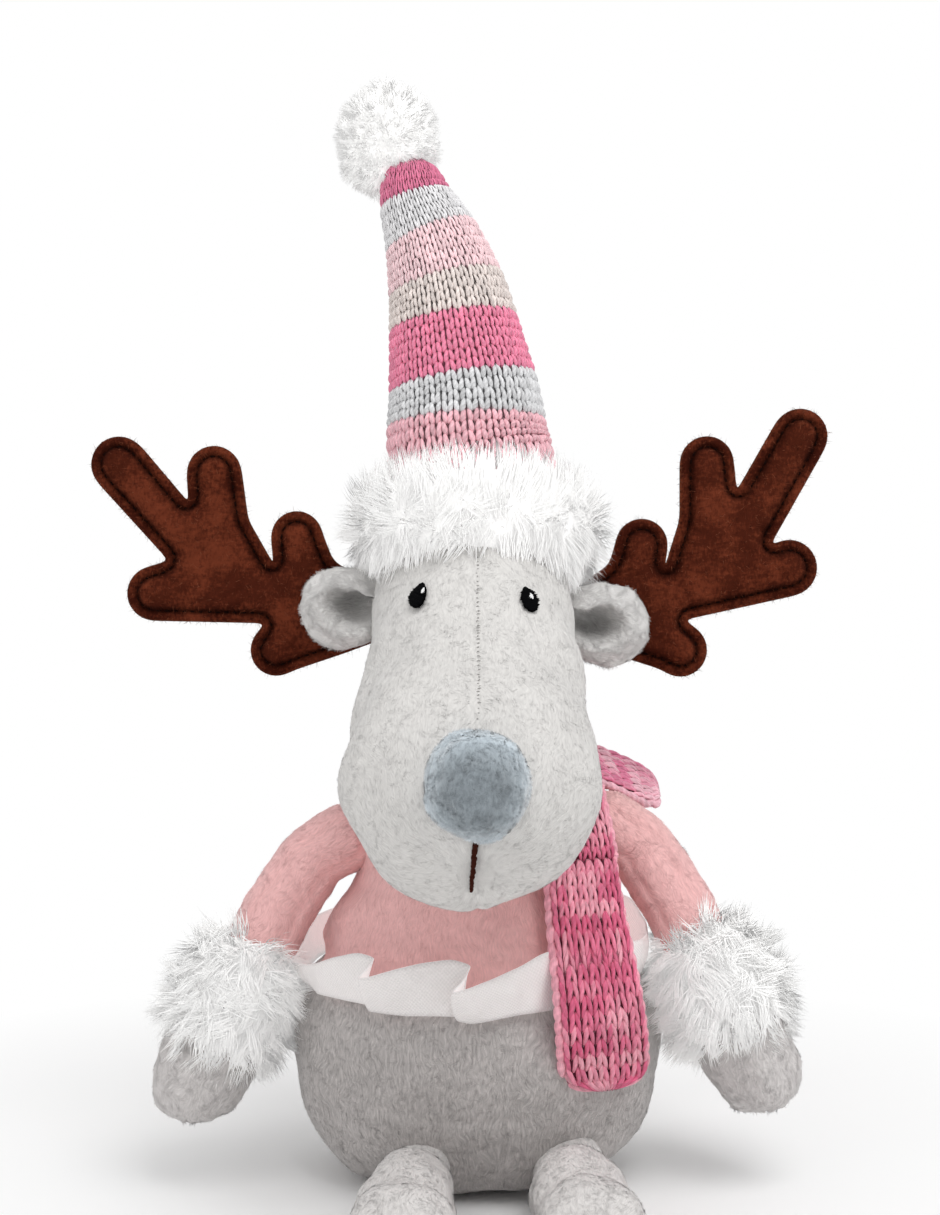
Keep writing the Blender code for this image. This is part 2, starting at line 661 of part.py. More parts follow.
def ear_root(side):
    """A point on the ear's hinge line, which runs front to back beside the head's skin."""
    below = EAR_BELOW_CROWN_LEFT if side == LEFT_SIDE else EAR_BELOW_CROWN_RIGHT
    place = crown_place() + Vector((0, -EAR_ROOT_FORWARD, -below))
    widest = max(head_side_at(place.y + EAR_CUP * k / 2, place.z) for k in (-1, 0, 1))
    return Vector((side * (widest + EAR_ROOT_CLEAR + EAR_ROOT_RADIUS), place.y, place.z))


def ear_grid(side, low, high):
    """A cupped leaf from the root to the tip, as rings round its thickness between two levels."""
    droop = EAR_DROOP_LEFT if side == LEFT_SIDE else EAR_DROOP_RIGHT
    out = Vector((side * math.cos(droop), 0, -math.sin(droop)))
    up = Vector((side * math.sin(droop), 0, math.cos(droop)))
    front = Vector((0, -1, 0))
    across = np.linspace(-1, 1, 7)
    grid = []
    for along, wide, cup in EAR_SHARES:
        base = ear_root(side) + out * (along * (EAR_LENGTH if along > 0 else EAR_ROOT_RADIUS))
        row = []
        for level, shares in ((low, across), (high, across[::-1])):
            for s in shares:
                curl = EAR_CUP * cup * (1 - s * s)
                row.append(base + up * (EAR_WIDTH / 2 * wide * s) + front * (level - curl))
        grid.append(row)
    return np.array(grid)


def build_ear(side, parent):
    name = SIDE_NAMES[side]
    pivot = empty("ear_pivot_" + name, ear_root(side), parent)
    back = ear_grid(side, -EAR_LAYER - EAR_GAP / 2, -EAR_GAP / 2)
    lining = ear_grid(side, EAR_GAP / 2, EAR_GAP / 2 + EAR_LAYER)
    solid("ear_back_" + name, back, ("plush_pale_grey", PALE_GREY), pivot)
    solid("ear_lining_" + name, lining, ("plush_mid_grey", MID_GREY), pivot)


def antler_root(side):
    """A point on the antler's hinge line, which stands upright beside the head's skin."""
    place = crown_place() + Vector((0, ANTLER_ROOT_BACK, -ANTLER_ROOT_BELOW_CROWN))
    reach = ANTLER_WIDTH / 10
    widest = max(head_side_at(place.y - FELT_WALL, place.z + reach * k) for k in (-1, 0, 1))
    return Vector((side * (widest + ANTLER_ROOT_CLEAR), place.y, place.z))


def antler_outline(side):
    """The antler's edge as (sideways, up) points from its root, with round tine ends."""
    shares = LEFT_ANTLER_OUTLINE_SHARES if side == LEFT_SIDE else RIGHT_ANTLER_OUTLINE_SHARES
    points = []
    for row in shares:
        centre = np.array(row[:2]) * ANTLER_WIDTH
        if len(row) == 2:
            points.append(centre)
            continue
        radius, heading = row[2] * ANTLER_WIDTH, math.radians(row[3])
        for k in range(TINE_STEPS + 1):
            angle = heading + math.pi / 2 - math.pi * k / TINE_STEPS
            points.append(centre + radius * np.array([math.cos(angle), math.sin(angle)]))
    return np.array(points)


def inset_outline(points, inset):
    """A closed outline drawn in by inset, each corner moved along its mitre."""
    before = points - np.roll(points, 1, axis=0)
    after = np.roll(points, -1, axis=0) - points
    before /= np.linalg.norm(before, axis=1, keepdims=True)
    after /= np.linalg.norm(after, axis=1, keepdims=True)
    inward = np.stack([before[:, 1], -before[:, 0]], axis=1) \
        + np.stack([after[:, 1], -after[:, 0]], axis=1)
    inward /= np.linalg.norm(inward, axis=1, keepdims=True)
    slant = inward[:, 0] * before[:, 1] - inward[:, 1] * before[:, 0]
    return points + inward * (inset / np.maximum(slant, 0.5))[:, None]


def antler_layers(side, levels):
    """The outline at each (inset, depth), as rings of world points."""
    root = antler_root(side)
    outline = antler_outline(side)
    grid = []
    for inset, depth in levels:
        flat = inset_outline(outline, inset)
        grid.append([root + Vector((side * u, depth, v)) for u, v in flat])
    return np.array(grid)


def build_antler(side, parent):
    name = SIDE_NAMES[side]
    pivot = empty("antler_pivot_" + name, antler_root(side), parent)
    seam, flat = GAP / 2, GAP / 2 + FELT_WALL
    puffed = flat + ANTLER_PUFF
    pocket = ANTLER_FLANGE + FELT_WALL
    for layer, facing in (("front", -1), ("back", 1)):
        levels = ((0.0, seam), (ANTLER_EDGE_ROUNDING * 0.3, seam + FELT_WALL * 0.65),
                  (ANTLER_EDGE_ROUNDING, flat), (ANTLER_FLANGE, flat),
                  (ANTLER_FLANGE + ANTLER_ROUNDING / 2, puffed - ANTLER_ROUNDING),
                  (ANTLER_FLANGE + ANTLER_ROUNDING * 2, puffed))
        inside = ((pocket, seam), (pocket, seam + ANTLER_PUFF - ANTLER_ROUNDING),
                  (pocket + ANTLER_ROUNDING / 2, seam + ANTLER_PUFF))
        outer = antler_layers(side, [(inset, facing * depth) for inset, depth in levels])
        inner = antler_layers(side, [(inset, facing * depth) for inset, depth in inside])
        felt_layer(f"antler_{layer}_felt_{name}", outer, inner, pivot)
    low = pocket + GAP * 2
    reach = seam + ANTLER_PUFF - GAP * 2
    halves = ((low + ANTLER_ROUNDING / 2, reach), (low, reach - ANTLER_ROUNDING))
    levels = [(inset, -depth) for inset, depth in halves]
    levels += [(inset, depth) for inset, depth in halves[::-1]]
    solid("antler_filling_" + name, antler_layers(side, levels), ("filling", FILLING), pivot)


def felt_layer(name, outer, inner, parent):
    """One felt face: raised outside, with a pocket inside, and a flat border between the two."""
    rings, count = outer.shape[:2]
    shift = rings * count
    points = np.concatenate([outer.reshape(-1, 3), inner.reshape(-1, 3)])
    faces = skin_faces(rings, count, 0, False, True)
    faces += [tuple(reversed(f)) for f in skin_faces(len(inner), count, shift, False, True)]
    for j in range(count):
        following = (j + 1) % count
        faces.append((j, shift + j, shift + following, following))
    add_mesh(name, points, face_outward(points, faces), ("felt_brown", BROWN), parent)


def band_grid(grow=0.0):
    """The fur band: an oval ring of oval section round the crown."""
    centre = crown_place() + Vector((0, BAND_BACK, BAND_ABOVE_CROWN))
    tilt = Matrix.Rotation(-BAND_TILT, 3, "X")
    reach_side = BAND_WIDTH / 2 - BAND_HALF_THICKNESS
    reach_deep = BAND_DEPTH / 2 - BAND_HALF_THICKNESS
    grid = []
    for k in range(BAND_SEGMENTS):
        angle = 2 * math.pi * k / BAND_SEGMENTS
        out = Vector((math.cos(angle), math.sin(angle), 0))
        middle = Vector((reach_side * out.x, reach_deep * out.y, 0))
        section = []
        for j in range(8):
            turn = 2 * math.pi * (j + 0.5) / 8
            section.append(centre + tilt @ (middle
                           + out * ((BAND_HALF_THICKNESS + grow) * math.cos(turn))
                           + UP * ((BAND_HALF_HEIGHT + grow) * math.sin(turn))))
        grid.append(section)
    return np.array(grid)


def loop_solid(name, grid, colour, parent):
    """A closed loop of sections, such as a band or a ribbon."""
    rings, count = grid.shape[:2]
    points = grid.reshape(-1, 3)
    faces = []
    for i in range(rings):
        for j in range(count):
            a, b = i * count + j, i * count + (j + 1) % count
            c, d = (i + 1) % rings * count + (j + 1) % count, (i + 1) % rings * count + j
            faces.append((a, b, c, d))
    return add_mesh(name, points, face_outward(points, faces), colour, parent)


def hat_pivot():
    return crown_place() + Vector((0, HAT_BACK, HAT_ABOVE_CROWN))


def hat_rings(inset):
    """The cone's rings, from its round lower edge up to the tip, drawn in by inset."""
    pivot = hat_pivot()
    centres, sizes = [], []
    for share in (1.0, 0.5, 0.0):
        angle = HAT_SKIRT_ANGLE * share
        centres.append(pivot - UP * (HAT_BASE_RADIUS * math.sin(angle)))
        sizes.append(HAT_BASE_RADIUS * math.cos(angle) - inset)
    for height, size, droop, lean in HAT_SHARES:
        centres.append(pivot + Vector((-HAT_SIDE_DROOP * droop, HAT_LEAN_BACK * lean,
                                       HAT_HEIGHT * height)))
        sizes.append(HAT_BASE_RADIUS * size - inset)
    return centres, sizes


def hat_grid(inset):
    """The hat's rings; under a wall the narrow rings by the tip are left out."""
    centres, sizes = hat_rings(inset)
    least = 0.0 if inset == 0.0 else HAT_WALL
    kept = [k for k, size in enumerate(sizes) if size > least]
    grid = []
    for k in kept:
        ahead, behind = centres[min(k + 1, len(centres) - 1)], centres[max(k - 1, 0)]
        along = (ahead - behind).normalized() if k > 2 else UP
        side = Vector((1, 0, 0)) - along * along.x
        side.normalize()
        grid.append(ring(centres[k], side, along.cross(side), sizes[k], sizes[k], HAT_SEGMENTS))
    return np.array(grid)


def hat_tip():
    return hat_rings(0.0)[0][-1]


def build_hat(nodding):
    band = loop_solid("hat_fur_band", band_grid(), ("fur_white", WHITE), nodding)
    pivot = empty("hat_pivot", hat_pivot(), nodding)
    open_cone("hat_knit", hat_grid(0.0), hat_grid(HAT_WALL), ("knit_pink", KNIT_PINK), pivot)
    solid("hat_filling", hat_grid(HAT_WALL + GAP)[2:-1], ("filling", FILLING), pivot)
    funnel = []
    narrow = math.sqrt((HAT_BASE_RADIUS + GAP) ** 2 - HAT_ROOM_DEPTH ** 2)
    for rise in (-HAT_ROOM_DEPTH, HAT_ROOM_DEPTH * 3):
        reach = narrow + (rise + HAT_ROOM_DEPTH) * math.tan(HAT_ROOM_FLARE)
        funnel.append(ring(hat_pivot() + UP * rise, (1, 0, 0), (0, 1, 0), reach, reach, 24))
    cut(band, hide_cutter(solid("crown_form", head_grid(GAP))),
        ball_cutter("hat_room", hat_pivot(), HAT_BASE_RADIUS + GAP, 30, 9),
        hide_cutter(solid("hat_funnel", np.array(funnel))))
    return pivot


def open_cone(name, outer, inner, colour, parent):
    """A closed-tipped wall, open at its first ring, whose inside may have fewer rings."""
    rings, count = outer.shape[:2]
    shift = rings * count
    points = np.concatenate([outer.reshape(-1, 3), inner.reshape(-1, 3)])
    faces = skin_faces(rings, count, 0, False, True)
    faces += [tuple(reversed(f)) for f in skin_faces(len(inner), count, shift, False, True)]
    for j in range(count):
        following = (j + 1) % count
        faces.append((j, shift + j, shift + following, following))
    return add_mesh(name, points, face_outward(points, faces), colour, parent)


def build_pompom(hat):
    tip = hat_tip()
    pivot = empty("pompom_pivot", tip, hat)
    centre = tip + Vector((-POMPOM_OUT, POMPOM_BACK, POMPOM_UP))
    form = ball_grid(centre, POMPOM_RADIUS, 18, 5, POMPOM_HALF_HEIGHT)
    pompom = solid("hat_pompom", form, ("fur_white", WHITE), pivot)
    centres = hat_rings(0.0)[0]
    down = (centres[-4] - centres[-1]).normalized()
    length = POMPOM_HALF_HEIGHT * 3
    wide = length * math.tan(POMPOM_HOLLOW_ANGLE)
    apex = tip - down * (CORD_RADIUS * 2 + GAP * 2)
    narrow = CORD_LOOP_RADIUS * 1.9
    side = down.orthogonal().normalized()
    cone = np.array([ring(apex, side, down.cross(side), narrow, narrow, 16),
                     ring(apex + down * length, side, down.cross(side), wide, wide, 16)])
    cut(pompom, hide_cutter(solid("tip_room", cone)))
    build_pompom_cord(pivot, tip, -down)


def build_pompom_cord(pivot, tip, up):
    """A short loop of cord on the tip that ties the pom-pom down."""
    side = up.orthogonal().normalized()
    deep = up.cross(side)
    middle = tip + up * (CORD_RADIUS + GAP)
    grid = []
    for k in range(12):
        angle = 2 * math.pi * k / 12
        out = side * math.cos(angle) + deep * math.sin(angle)
        grid.append(ring(middle + out * (CORD_LOOP_RADIUS - CORD_RADIUS), out, up,
                         CORD_RADIUS, CORD_RADIUS, 6))
    loop_solid("pompom_cord", np.array(grid), ("thread_white", WHITE), pivot)


def shoulder_side():
    return body_at(BODY_HEIGHT - SHOULDER_BELOW_NECK)[1] + SHOULDER_OUT


def shoulder(side):
    rise = SHOULDER_RISE_LEFT if side == LEFT_SIDE else 0.0
    height = BODY_HEIGHT - SHOULDER_BELOW_NECK + rise
    return Vector((side * shoulder_side(), SHOULDER_BACK, height))


def arm_place(side, out, drop, forward):
    """A point of the arm's middle line, which ends beside the belly."""
    reach = BELLY_WIDTH / 2 + HAND_OUT - shoulder_side()
    return shoulder(side) + Vector((side * reach * out, -ARM_FORWARD * forward, -ARM_DROP * drop))


def arm_grid(side, shares, radii):
    centres = [arm_place(side, *s[:3]) for s in shares]
    return rings_along(centres, radii, radii, (0, 1, 0), ARM_SEGMENTS)


def sleeve_grid(side):
    """The sleeve's rings, starting with the round head that sits in the shoulder's socket."""
    centres = [arm_place(side, *s[:3]) for s in SLEEVE_SHARES]
    heading = (centres[0] - shoulder(side)).normalized()
    angles = np.linspace(math.pi * 0.94, math.pi * 0.52, BALL_RINGS)
    balls = [shoulder(side) + heading * (SHOULDER_RADIUS * math.cos(a)) for a in angles]
    sizes = [SHOULDER_RADIUS * math.sin(a) for a in angles]
    sizes += [SLEEVE_RADIUS * s[3] for s in SLEEVE_SHARES]
    return rings_along(balls + centres, sizes, sizes, (0, 1, 0), ARM_SEGMENTS)


def arm_radius_at(drop):
    """The larger of sleeve and hand at a drop share, for the cuff that covers both."""
    sleeve = SLEEVE_RADIUS * float(np.interp(drop, [s[1] for s in SLEEVE_SHARES],
                                             [s[3] for s in SLEEVE_SHARES]))
    hand = HAND_RADIUS * float(np.interp(drop, [s[1] for s in HAND_SHARES],
                                         [s[3] for s in HAND_SHARES]))
    return max(sleeve if drop < HAND_SHARES[1][1] else 0.0, hand if drop > HAND_SHARES[0][1] else 0.0)


def build_arm(side, root):
    name = SIDE_NAMES[side]
    pivot = empty("shoulder_pivot_" + name, shoulder(side), root)
    sleeve = sleeve_grid(side)
    shell("sleeve_" + name, sleeve, offset_grid(sleeve, -PLUSH_WALL), ("plush_pink", PINK), pivot,
          open_last=True)
    solid("sleeve_filling_" + name, offset_grid(sleeve, -PLUSH_WALL - GAP)[:-1],
          ("filling", FILLING), pivot)
    cuff_radii = [CUFF_RADIUS * s[3] for s in CUFF_SHARES]
    bores = [max(arm_radius_at(s[1] + step) for step in (-0.06, 0, 0.06)) + CUFF_CLEAR
             for s in CUFF_SHARES]
    shell("fur_cuff_" + name, arm_grid(side, CUFF_SHARES, cuff_radii),
          arm_grid(side, CUFF_SHARES, bores), ("fur_white", WHITE), pivot, open_first=True,
          open_last=True)
    hand = arm_grid(side, HAND_SHARES, [HAND_RADIUS * s[3] for s in HAND_SHARES])
    shell("hand_" + name, hand, offset_grid(hand, -PLUSH_WALL), ("plush_mid_grey", MID_GREY),
          pivot, open_first=True)
    solid("hand_filling_" + name, offset_grid(hand, -PLUSH_WALL - GAP)[1:], ("filling", FILLING),
          pivot)
    return ball_cutter("shoulder_socket_" + name, shoulder(side), SHOULDER_RADIUS + SOCKET_GAP)


def hip(side):
    """The middle of the hip's round head, a little outside the seat's skin."""
    sideways = HIP_SHIFT + side * HIP_SPACING / 2
    middle, half_width, half_depth = body_at(HIP_HEIGHT)
    skin = middle - half_depth * math.sqrt(max(1 - (sideways / half_width) ** 2, 0.0))
    return Vector((sideways, skin - HIP_OUT, HIP_HEIGHT))


def leg_grid(side):
    start = hip(side)
    heading = Vector((side * math.sin(LEG_SPLAY), -math.cos(LEG_SPLAY), 0))
    across = Vector((math.cos(LEG_SPLAY), side * math.sin(LEG_SPLAY), 0))
    grid = []
    for angle in np.linspace(math.pi * 0.94, math.pi * 0.56, BALL_RINGS):
        size = HIP_RADIUS * math.sin(angle)
        grid.append(ring(start + heading * (HIP_RADIUS * math.cos(angle)), across, UP, size, size,
                         LEG_SEGMENTS))
    for length, width, height, rise in LEG_SHARES:
        centre = start + heading * (LEG_LENGTH * length) + UP * (LEG_HALF_HEIGHT * rise)
        grid.append(ring(centre, across, UP, LEG_HALF_WIDTH * width, LEG_HALF_HEIGHT * height,
                         LEG_SEGMENTS))
    return np.array(grid)


def build_leg(side, root):
    name = SIDE_NAMES[side]
    pivot = empty("hip_pivot_" + name, hip(side), root)
    outer = leg_grid(side)
    inner, filling = offset_grid(outer, -PLUSH_WALL), offset_grid(outer, -PLUSH_WALL - GAP)
    outer[:, :, 2] = np.maximum(outer[:, :, 2], 0.0)
    inner[:, :, 2] = np.maximum(inner[:, :, 2], PLUSH_WALL)
    filling[:, :, 2] = np.maximum(filling[:, :, 2], PLUSH_WALL + GAP)
    shell("leg_" + name, outer, inner, ("plush_pale_grey", PALE_GREY), pivot, open_first=True)
    solid("leg_filling_" + name, filling, ("filling", FILLING), pivot)


def build_ribbon(root):
    """A gathered ribbon: its section slides in and out as it goes round the waist seam."""
    grid = []
    for k in range(RIBBON_SEGMENTS):
        angle = 2 * math.pi * k / RIBBON_SEGMENTS
        back = (1 + math.sin(angle)) / 2
        low = waist_height() - RIBBON_WIDTH * 0.32 + RIBBON_RISE * back
        depth = RIBBON_SIDE_SHARE + (1 - RIBBON_SIDE_SHARE) * math.sin(angle) ** 2
        wave = RIBBON_WAVE * depth * (0.5 + 0.5 * math.sin(RIBBON_WAVES * angle))
        section = []
        for height, stand in ((0.0, 0.0), (1.0, 0.0), (1.0, RIBBON_THICKNESS), (0.0, RIBBON_THICKNESS)):
            middle, half_width, half_depth = body_at(low + RIBBON_WIDTH * height * (1 - depth))
            out = GAP * 2 + stand + wave * (0.35 + 0.65 * height)
            section.append(((half_width + out) * math.cos(angle),
                            middle + (half_depth + out) * math.sin(angle),
                            low + RIBBON_WIDTH * height))
        grid.append(section)
    loop_solid("waist_ribbon", np.array(grid), ("ribbon_white", WHITE), root)


def build_scarf_wrap(root):
    """The scarf's turn round the neck, rolled and lying on the slope of the shoulders."""
    places = []
    for k in range(WRAP_SEGMENTS):
        angle = 2 * math.pi * k / WRAP_SEGMENTS
        x, y = math.cos(angle), math.sin(angle)
        end_drop = WRAP_BACK_DROP if y > 0 else WRAP_FRONT_DROP
        drop = WRAP_SIDE_DROP + (end_drop - WRAP_SIDE_DROP) * abs(y) ** WRAP_DIP_POWER
        height = BODY_HEIGHT - drop
        middle, half_width, half_depth = body_at(height - WRAP_HALF_HEIGHT / 2)
        places.append(Vector((WRAP_SIDE_REACH * x,
                              middle + (half_depth + WRAP_OUT) * y, height)))
    grid = []
    for k, place in enumerate(places):
        along = (places[(k + 1) % WRAP_SEGMENTS] - places[k - 1]).normalized()
        out = Vector((along.y, -along.x, 0)).normalized()
        grid.append(ring(place, out, along.cross(out), WRAP_HALF_THICKNESS, WRAP_HALF_HEIGHT, 8))
    wrap = loop_solid("scarf_wrap", np.array(grid), ("knit_pink", KNIT_PINK), root)
    seat = body_stations(SEAT_SHARES) + [waist_station()] + body_stations(CHEST_SHARES)
    form = inner_body_grid(seat, -GAP)
    form[-1, :, 2] += GAP
    cut(wrap, hide_cutter(solid("body_form", form)))


def tail_axes():
    facing = Vector((math.sin(TAIL_TURN), -math.cos(TAIL_TURN), 0))
    across = Vector((math.cos(TAIL_TURN), math.sin(TAIL_TURN), 0))
    return facing, across


def tail_reach(height):
    """How far the body reaches in the tail's facing direction, at this height or above it."""
    facing = tail_axes()[0]
    reach = 0.0
    for z in np.linspace(height - RIBBON_WIDTH, BODY_HEIGHT - TAIL_TOP_DROP, 14):
        middle, half_width, half_depth = body_at(float(z))
        support = math.hypot(half_width * facing.x, half_depth * facing.y)
        reach = max(reach, support + middle * facing.y)
    return reach


def tail_centre(height, sideways):
    facing, across = tail_axes()
    over_ribbon = min(max(1.7 - abs(height - waist_height()) / RIBBON_WIDTH, 0.0), 1.0)
    base = facing * (tail_reach(height) + TAIL_CLEAR + (RIBBON_WAVE + RIBBON_THICKNESS) * over_ribbon
                     + SCARF_THICKNESS / 2)
    along = (sideways - base.x) / across.x
    return base + across * along + UP * height


def tail_pivot():
    return tail_centre(BODY_HEIGHT - TAIL_TOP_DROP, BELLY_WIDTH / 2 - TAIL_TOP_IN)


def strip_section(centre, across, out, half_width, half_thickness):
    """A flat oval-edged section of a knitted strip."""
    shares = ((-1, 0), (-0.86, 1), (0, 1.12), (0.86, 1), (1, 0), (0.86, -1), (0, -1), (-0.86, -1))
    return [centre + across * (half_width * a) + out * (half_thickness * b) for a, b in shares]


def build_front_tail(root):
    pivot = empty("front_tail_pivot", tail_pivot(), root)
    facing, across = tail_axes()
    half = SCARF_THICKNESS / 2
    grid = []
    for rise, thick in ((0.95, 0.30), (0.60, 0.80)):
        grid.append(strip_section(tail_pivot() + UP * half * rise, across, facing,
                                  SCARF_WIDTH / 2 * TAIL_TOP_WIDTH_SHARE, half * thick))
    for k in range(TAIL_STATIONS):
        share = k / (TAIL_STATIONS - 1)
        height = BODY_HEIGHT - TAIL_TOP_DROP - TAIL_LENGTH * share
        sideways = BELLY_WIDTH / 2 - TAIL_TOP_IN + (TAIL_TOP_IN - TAIL_END_IN) * share
        rounding = math.sqrt(max(1 - max(share - 0.80, 0.0) ** 2 / 0.0434, 0.06))
        wide = TAIL_TOP_WIDTH_SHARE + (1 - TAIL_TOP_WIDTH_SHARE) * min(share * 1.4, 1.0)
        grid.append(strip_section(tail_centre(height, sideways), across, facing,
                                  SCARF_WIDTH / 2 * rounding * wide, half))
    solid("scarf_front_tail", np.array(grid), ("knit_pink", KNIT_PINK), pivot)


def shoulder_tail_pivot():
    return Vector((SHOULDER_TAIL_SIDE, SHOULDER_TAIL_BACK, BODY_HEIGHT + SHOULDER_TAIL_RISE))


def shoulder_tail_axis():
    """The hinge line across the tail's inner end, which dips towards the front."""
    return Vector((0, math.cos(SHOULDER_TAIL_ROLL), math.sin(SHOULDER_TAIL_ROLL)))


def build_shoulder_tail(root):
    """The scarf's other end, laid over the left shoulder."""
    pivot = empty("shoulder_tail_pivot", shoulder_tail_pivot(), root)
    half = SCARF_THICKNESS / 2
    across = shoulder_tail_axis()
    side = Vector((1, 0, 0))
    level = side.cross(across)
    grid = []
    place = shoulder_tail_pivot()
    steps = len(SHOULDER_TAIL_DIPS)
    for k, degrees in enumerate(SHOULDER_TAIL_DIPS):
        dip = math.radians(degrees)
        heading = side * math.cos(dip) - level * math.sin(dip)
        out = level * math.cos(dip) + side * math.sin(dip)
        rounding = 1.0 if k < steps - 1 else 0.80
        grid.append(strip_section(place, across, out, SHOULDER_TAIL_WIDTH / 2 * rounding, half))
        place = place + heading * (SHOULDER_TAIL_LENGTH / (steps - 1))
    solid("scarf_shoulder_tail", np.array(grid), ("knit_pink", KNIT_PINK), pivot)


def main():
    clear_scene()
    root = empty("toy", (0, 0, 0))
    seat_cover, chest_cover, body_filling = build_body(root)
    turning = empty("neck_pivot", neck_place(), root)
    build_neck(turning)
    nodding = empty("head_pivot", neck_place(), turning)
    build_head(nodding)
    for side in (RIGHT_SIDE, LEFT_SIDE):
        build_ear(side, nodding)
        build_antler(side, nodding)
        socket = build_arm(side, root)
        cut(chest_cover, socket)
        cut(body_filling, socket)
        build_leg(side, root)
        hip_socket = ball_cutter("hip_socket_" + SIDE_NAMES[side], hip(side), HIP_RADIUS + SOCKET_GAP)
        cut(seat_cover, hip_socket)
        cut(body_filling, hip_socket)
    hat = build_hat(nodding)
    build_pompom(hat)
    build_ribbon(root)
    build_scarf_wrap(root)
    build_front_tail(root)
    build_shoulder_tail(root)


main()
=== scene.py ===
import math
import bpy
import numpy as np
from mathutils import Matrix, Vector
from mathutils.geometry import delaunay_2d_cdt


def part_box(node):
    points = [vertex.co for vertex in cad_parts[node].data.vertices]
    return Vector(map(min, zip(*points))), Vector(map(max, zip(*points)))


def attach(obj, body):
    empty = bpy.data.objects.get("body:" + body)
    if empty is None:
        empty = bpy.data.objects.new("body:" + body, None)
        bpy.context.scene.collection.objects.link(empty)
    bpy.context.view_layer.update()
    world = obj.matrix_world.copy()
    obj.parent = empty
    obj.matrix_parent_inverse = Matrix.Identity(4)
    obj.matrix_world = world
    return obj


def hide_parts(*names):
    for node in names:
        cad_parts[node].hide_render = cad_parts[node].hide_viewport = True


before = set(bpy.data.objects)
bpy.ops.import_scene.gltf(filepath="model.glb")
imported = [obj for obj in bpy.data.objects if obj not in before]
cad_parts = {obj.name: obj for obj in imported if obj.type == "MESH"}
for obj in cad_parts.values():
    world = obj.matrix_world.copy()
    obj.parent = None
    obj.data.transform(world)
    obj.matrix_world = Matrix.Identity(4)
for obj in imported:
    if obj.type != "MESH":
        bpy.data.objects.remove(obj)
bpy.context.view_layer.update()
rightSide, leftSide = -1, 1
sideNames = {rightSide: "right", leftSide: "left"}
turn = 2 * math.pi
leftward, backward, upward = np.eye(3)

# Camera first: level, at the photograph's distance; the frame is in the photograph's pixels
cameraView = {"place": (-0.0021, -0.620, 0.193), "lens": 53.24, "sensor": 36.0, "near": 0.01,
              "frame": (940, 1215)}
cameraData = bpy.data.cameras.new("studioCamera")
cameraData.sensor_width = cameraView["sensor"]
cameraData.lens = cameraView["lens"]
cameraData.clip_start = cameraView["near"]
camera = bpy.data.objects.new("studioCamera", cameraData)
camera.location = cameraView["place"]
camera.rotation_euler = (math.pi / 2, 0, 0)
bpy.context.scene.collection.objects.link(camera)
bpy.context.scene.camera = camera
bpy.context.scene.view_settings.view_transform = "Standard"


def fromPhoto(px, py, depth):
    # the point at a pixel and a depth: camera + (px - width / 2, height / 2 - py) * distance / focal length
    # in pixels
    place, (wide, tall) = cameraView["place"], cameraView["frame"]
    depth = np.asarray(depth, float)
    scale = (depth - place[1]) / (cameraView["lens"] / cameraView["sensor"] * tall)
    return np.stack([place[0] + (np.asarray(px) - wide / 2) * scale, depth,
                     place[2] - (np.asarray(py) - tall / 2) * scale], axis=-1)


# ---- arrays and meshes

def unit(vectors):
    # v / |v|
    return vectors / np.maximum(np.linalg.norm(vectors, axis=-1, keepdims=True), 1e-12)


def ringAngles(count):
    # count even steps of a full turn
    return np.arange(count) * (turn / count)


def lengthAlong(line):
    # running sum of |p[k + 1] - p[k]|, from 0
    return np.concatenate([[0], np.cumsum(np.linalg.norm(np.diff(line, axis=0), axis=1))])


def aboveFloor(points, height):
    # max(z, height)
    return np.concatenate([points[..., :2], np.maximum(points[..., 2:], height)], axis=-1)


def smoothRows(rows, at):
    # cubic through the rows: h00 a + h10 d m + h01 b + h11 d n, with slopes m and n from the neighbours
    rows, at = np.asarray(rows, float), np.asarray(at, float)
    x, y = rows[:, 0], rows[:, 1:]
    slope = np.gradient(y, x, axis=0)
    k = np.clip(np.searchsorted(x, at, side="right") - 1, 0, len(x) - 2)
    d = (x[k + 1] - x[k])[..., None]
    t = ((at - x[k]) / (x[k + 1] - x[k]))[..., None]
    found = ((2 * t ** 3 - 3 * t ** 2 + 1) * y[k] + (t ** 3 - 2 * t ** 2 + t) * d * slope[k]
             + (3 * t ** 2 - 2 * t ** 3) * y[k + 1] + (t ** 3 - t ** 2) * d * slope[k + 1])
    return np.moveaxis(found, -1, 0)


def numbered(rows):
    # the rows with their own number in front, for smoothRows
    return [(k, *row) for k, row in enumerate(rows)]


def ripple(points, size, seed, waves=20):
    # smooth noise near -1 to 1: the mean of cosines in random directions, times a gain
    rng = np.random.default_rng(seed)
    heading = unit(rng.normal(size=(waves, 3))) * (turn / size) * rng.uniform(0.6, 1.4, (waves, 1))
    phase = rng.uniform(0, turn, waves)
    return np.cos(points @ heading.T + phase).sum(axis=-1) * (1.4 / math.sqrt(waves))


def gridNormals(grid):
    # cross product of the steps round and along, turned away from each ring's middle
    along = np.gradient(grid, axis=0)
    around = np.roll(grid, -1, axis=1) - np.roll(grid, 1, axis=1)
    normals = unit(np.cross(around, along))
    outward = grid - grid.mean(axis=1, keepdims=True)
    middle = len(grid) // 2
    return -normals if (normals[middle] * outward[middle]).sum() < 0 else normals


def ovalRings(centres, side, rise, halfSide, halfRise, count):
    # centre + a cos(angle) side + b sin(angle) rise, for every ring at once
    angle = ringAngles(count)
    across = np.cos(angle)[None, :, None] * (halfSide[:, None] * side)[:, None, :]
    lift = np.sin(angle)[None, :, None] * (halfRise[:, None] * rise)[:, None, :]
    return centres[:, None, :] + across + lift


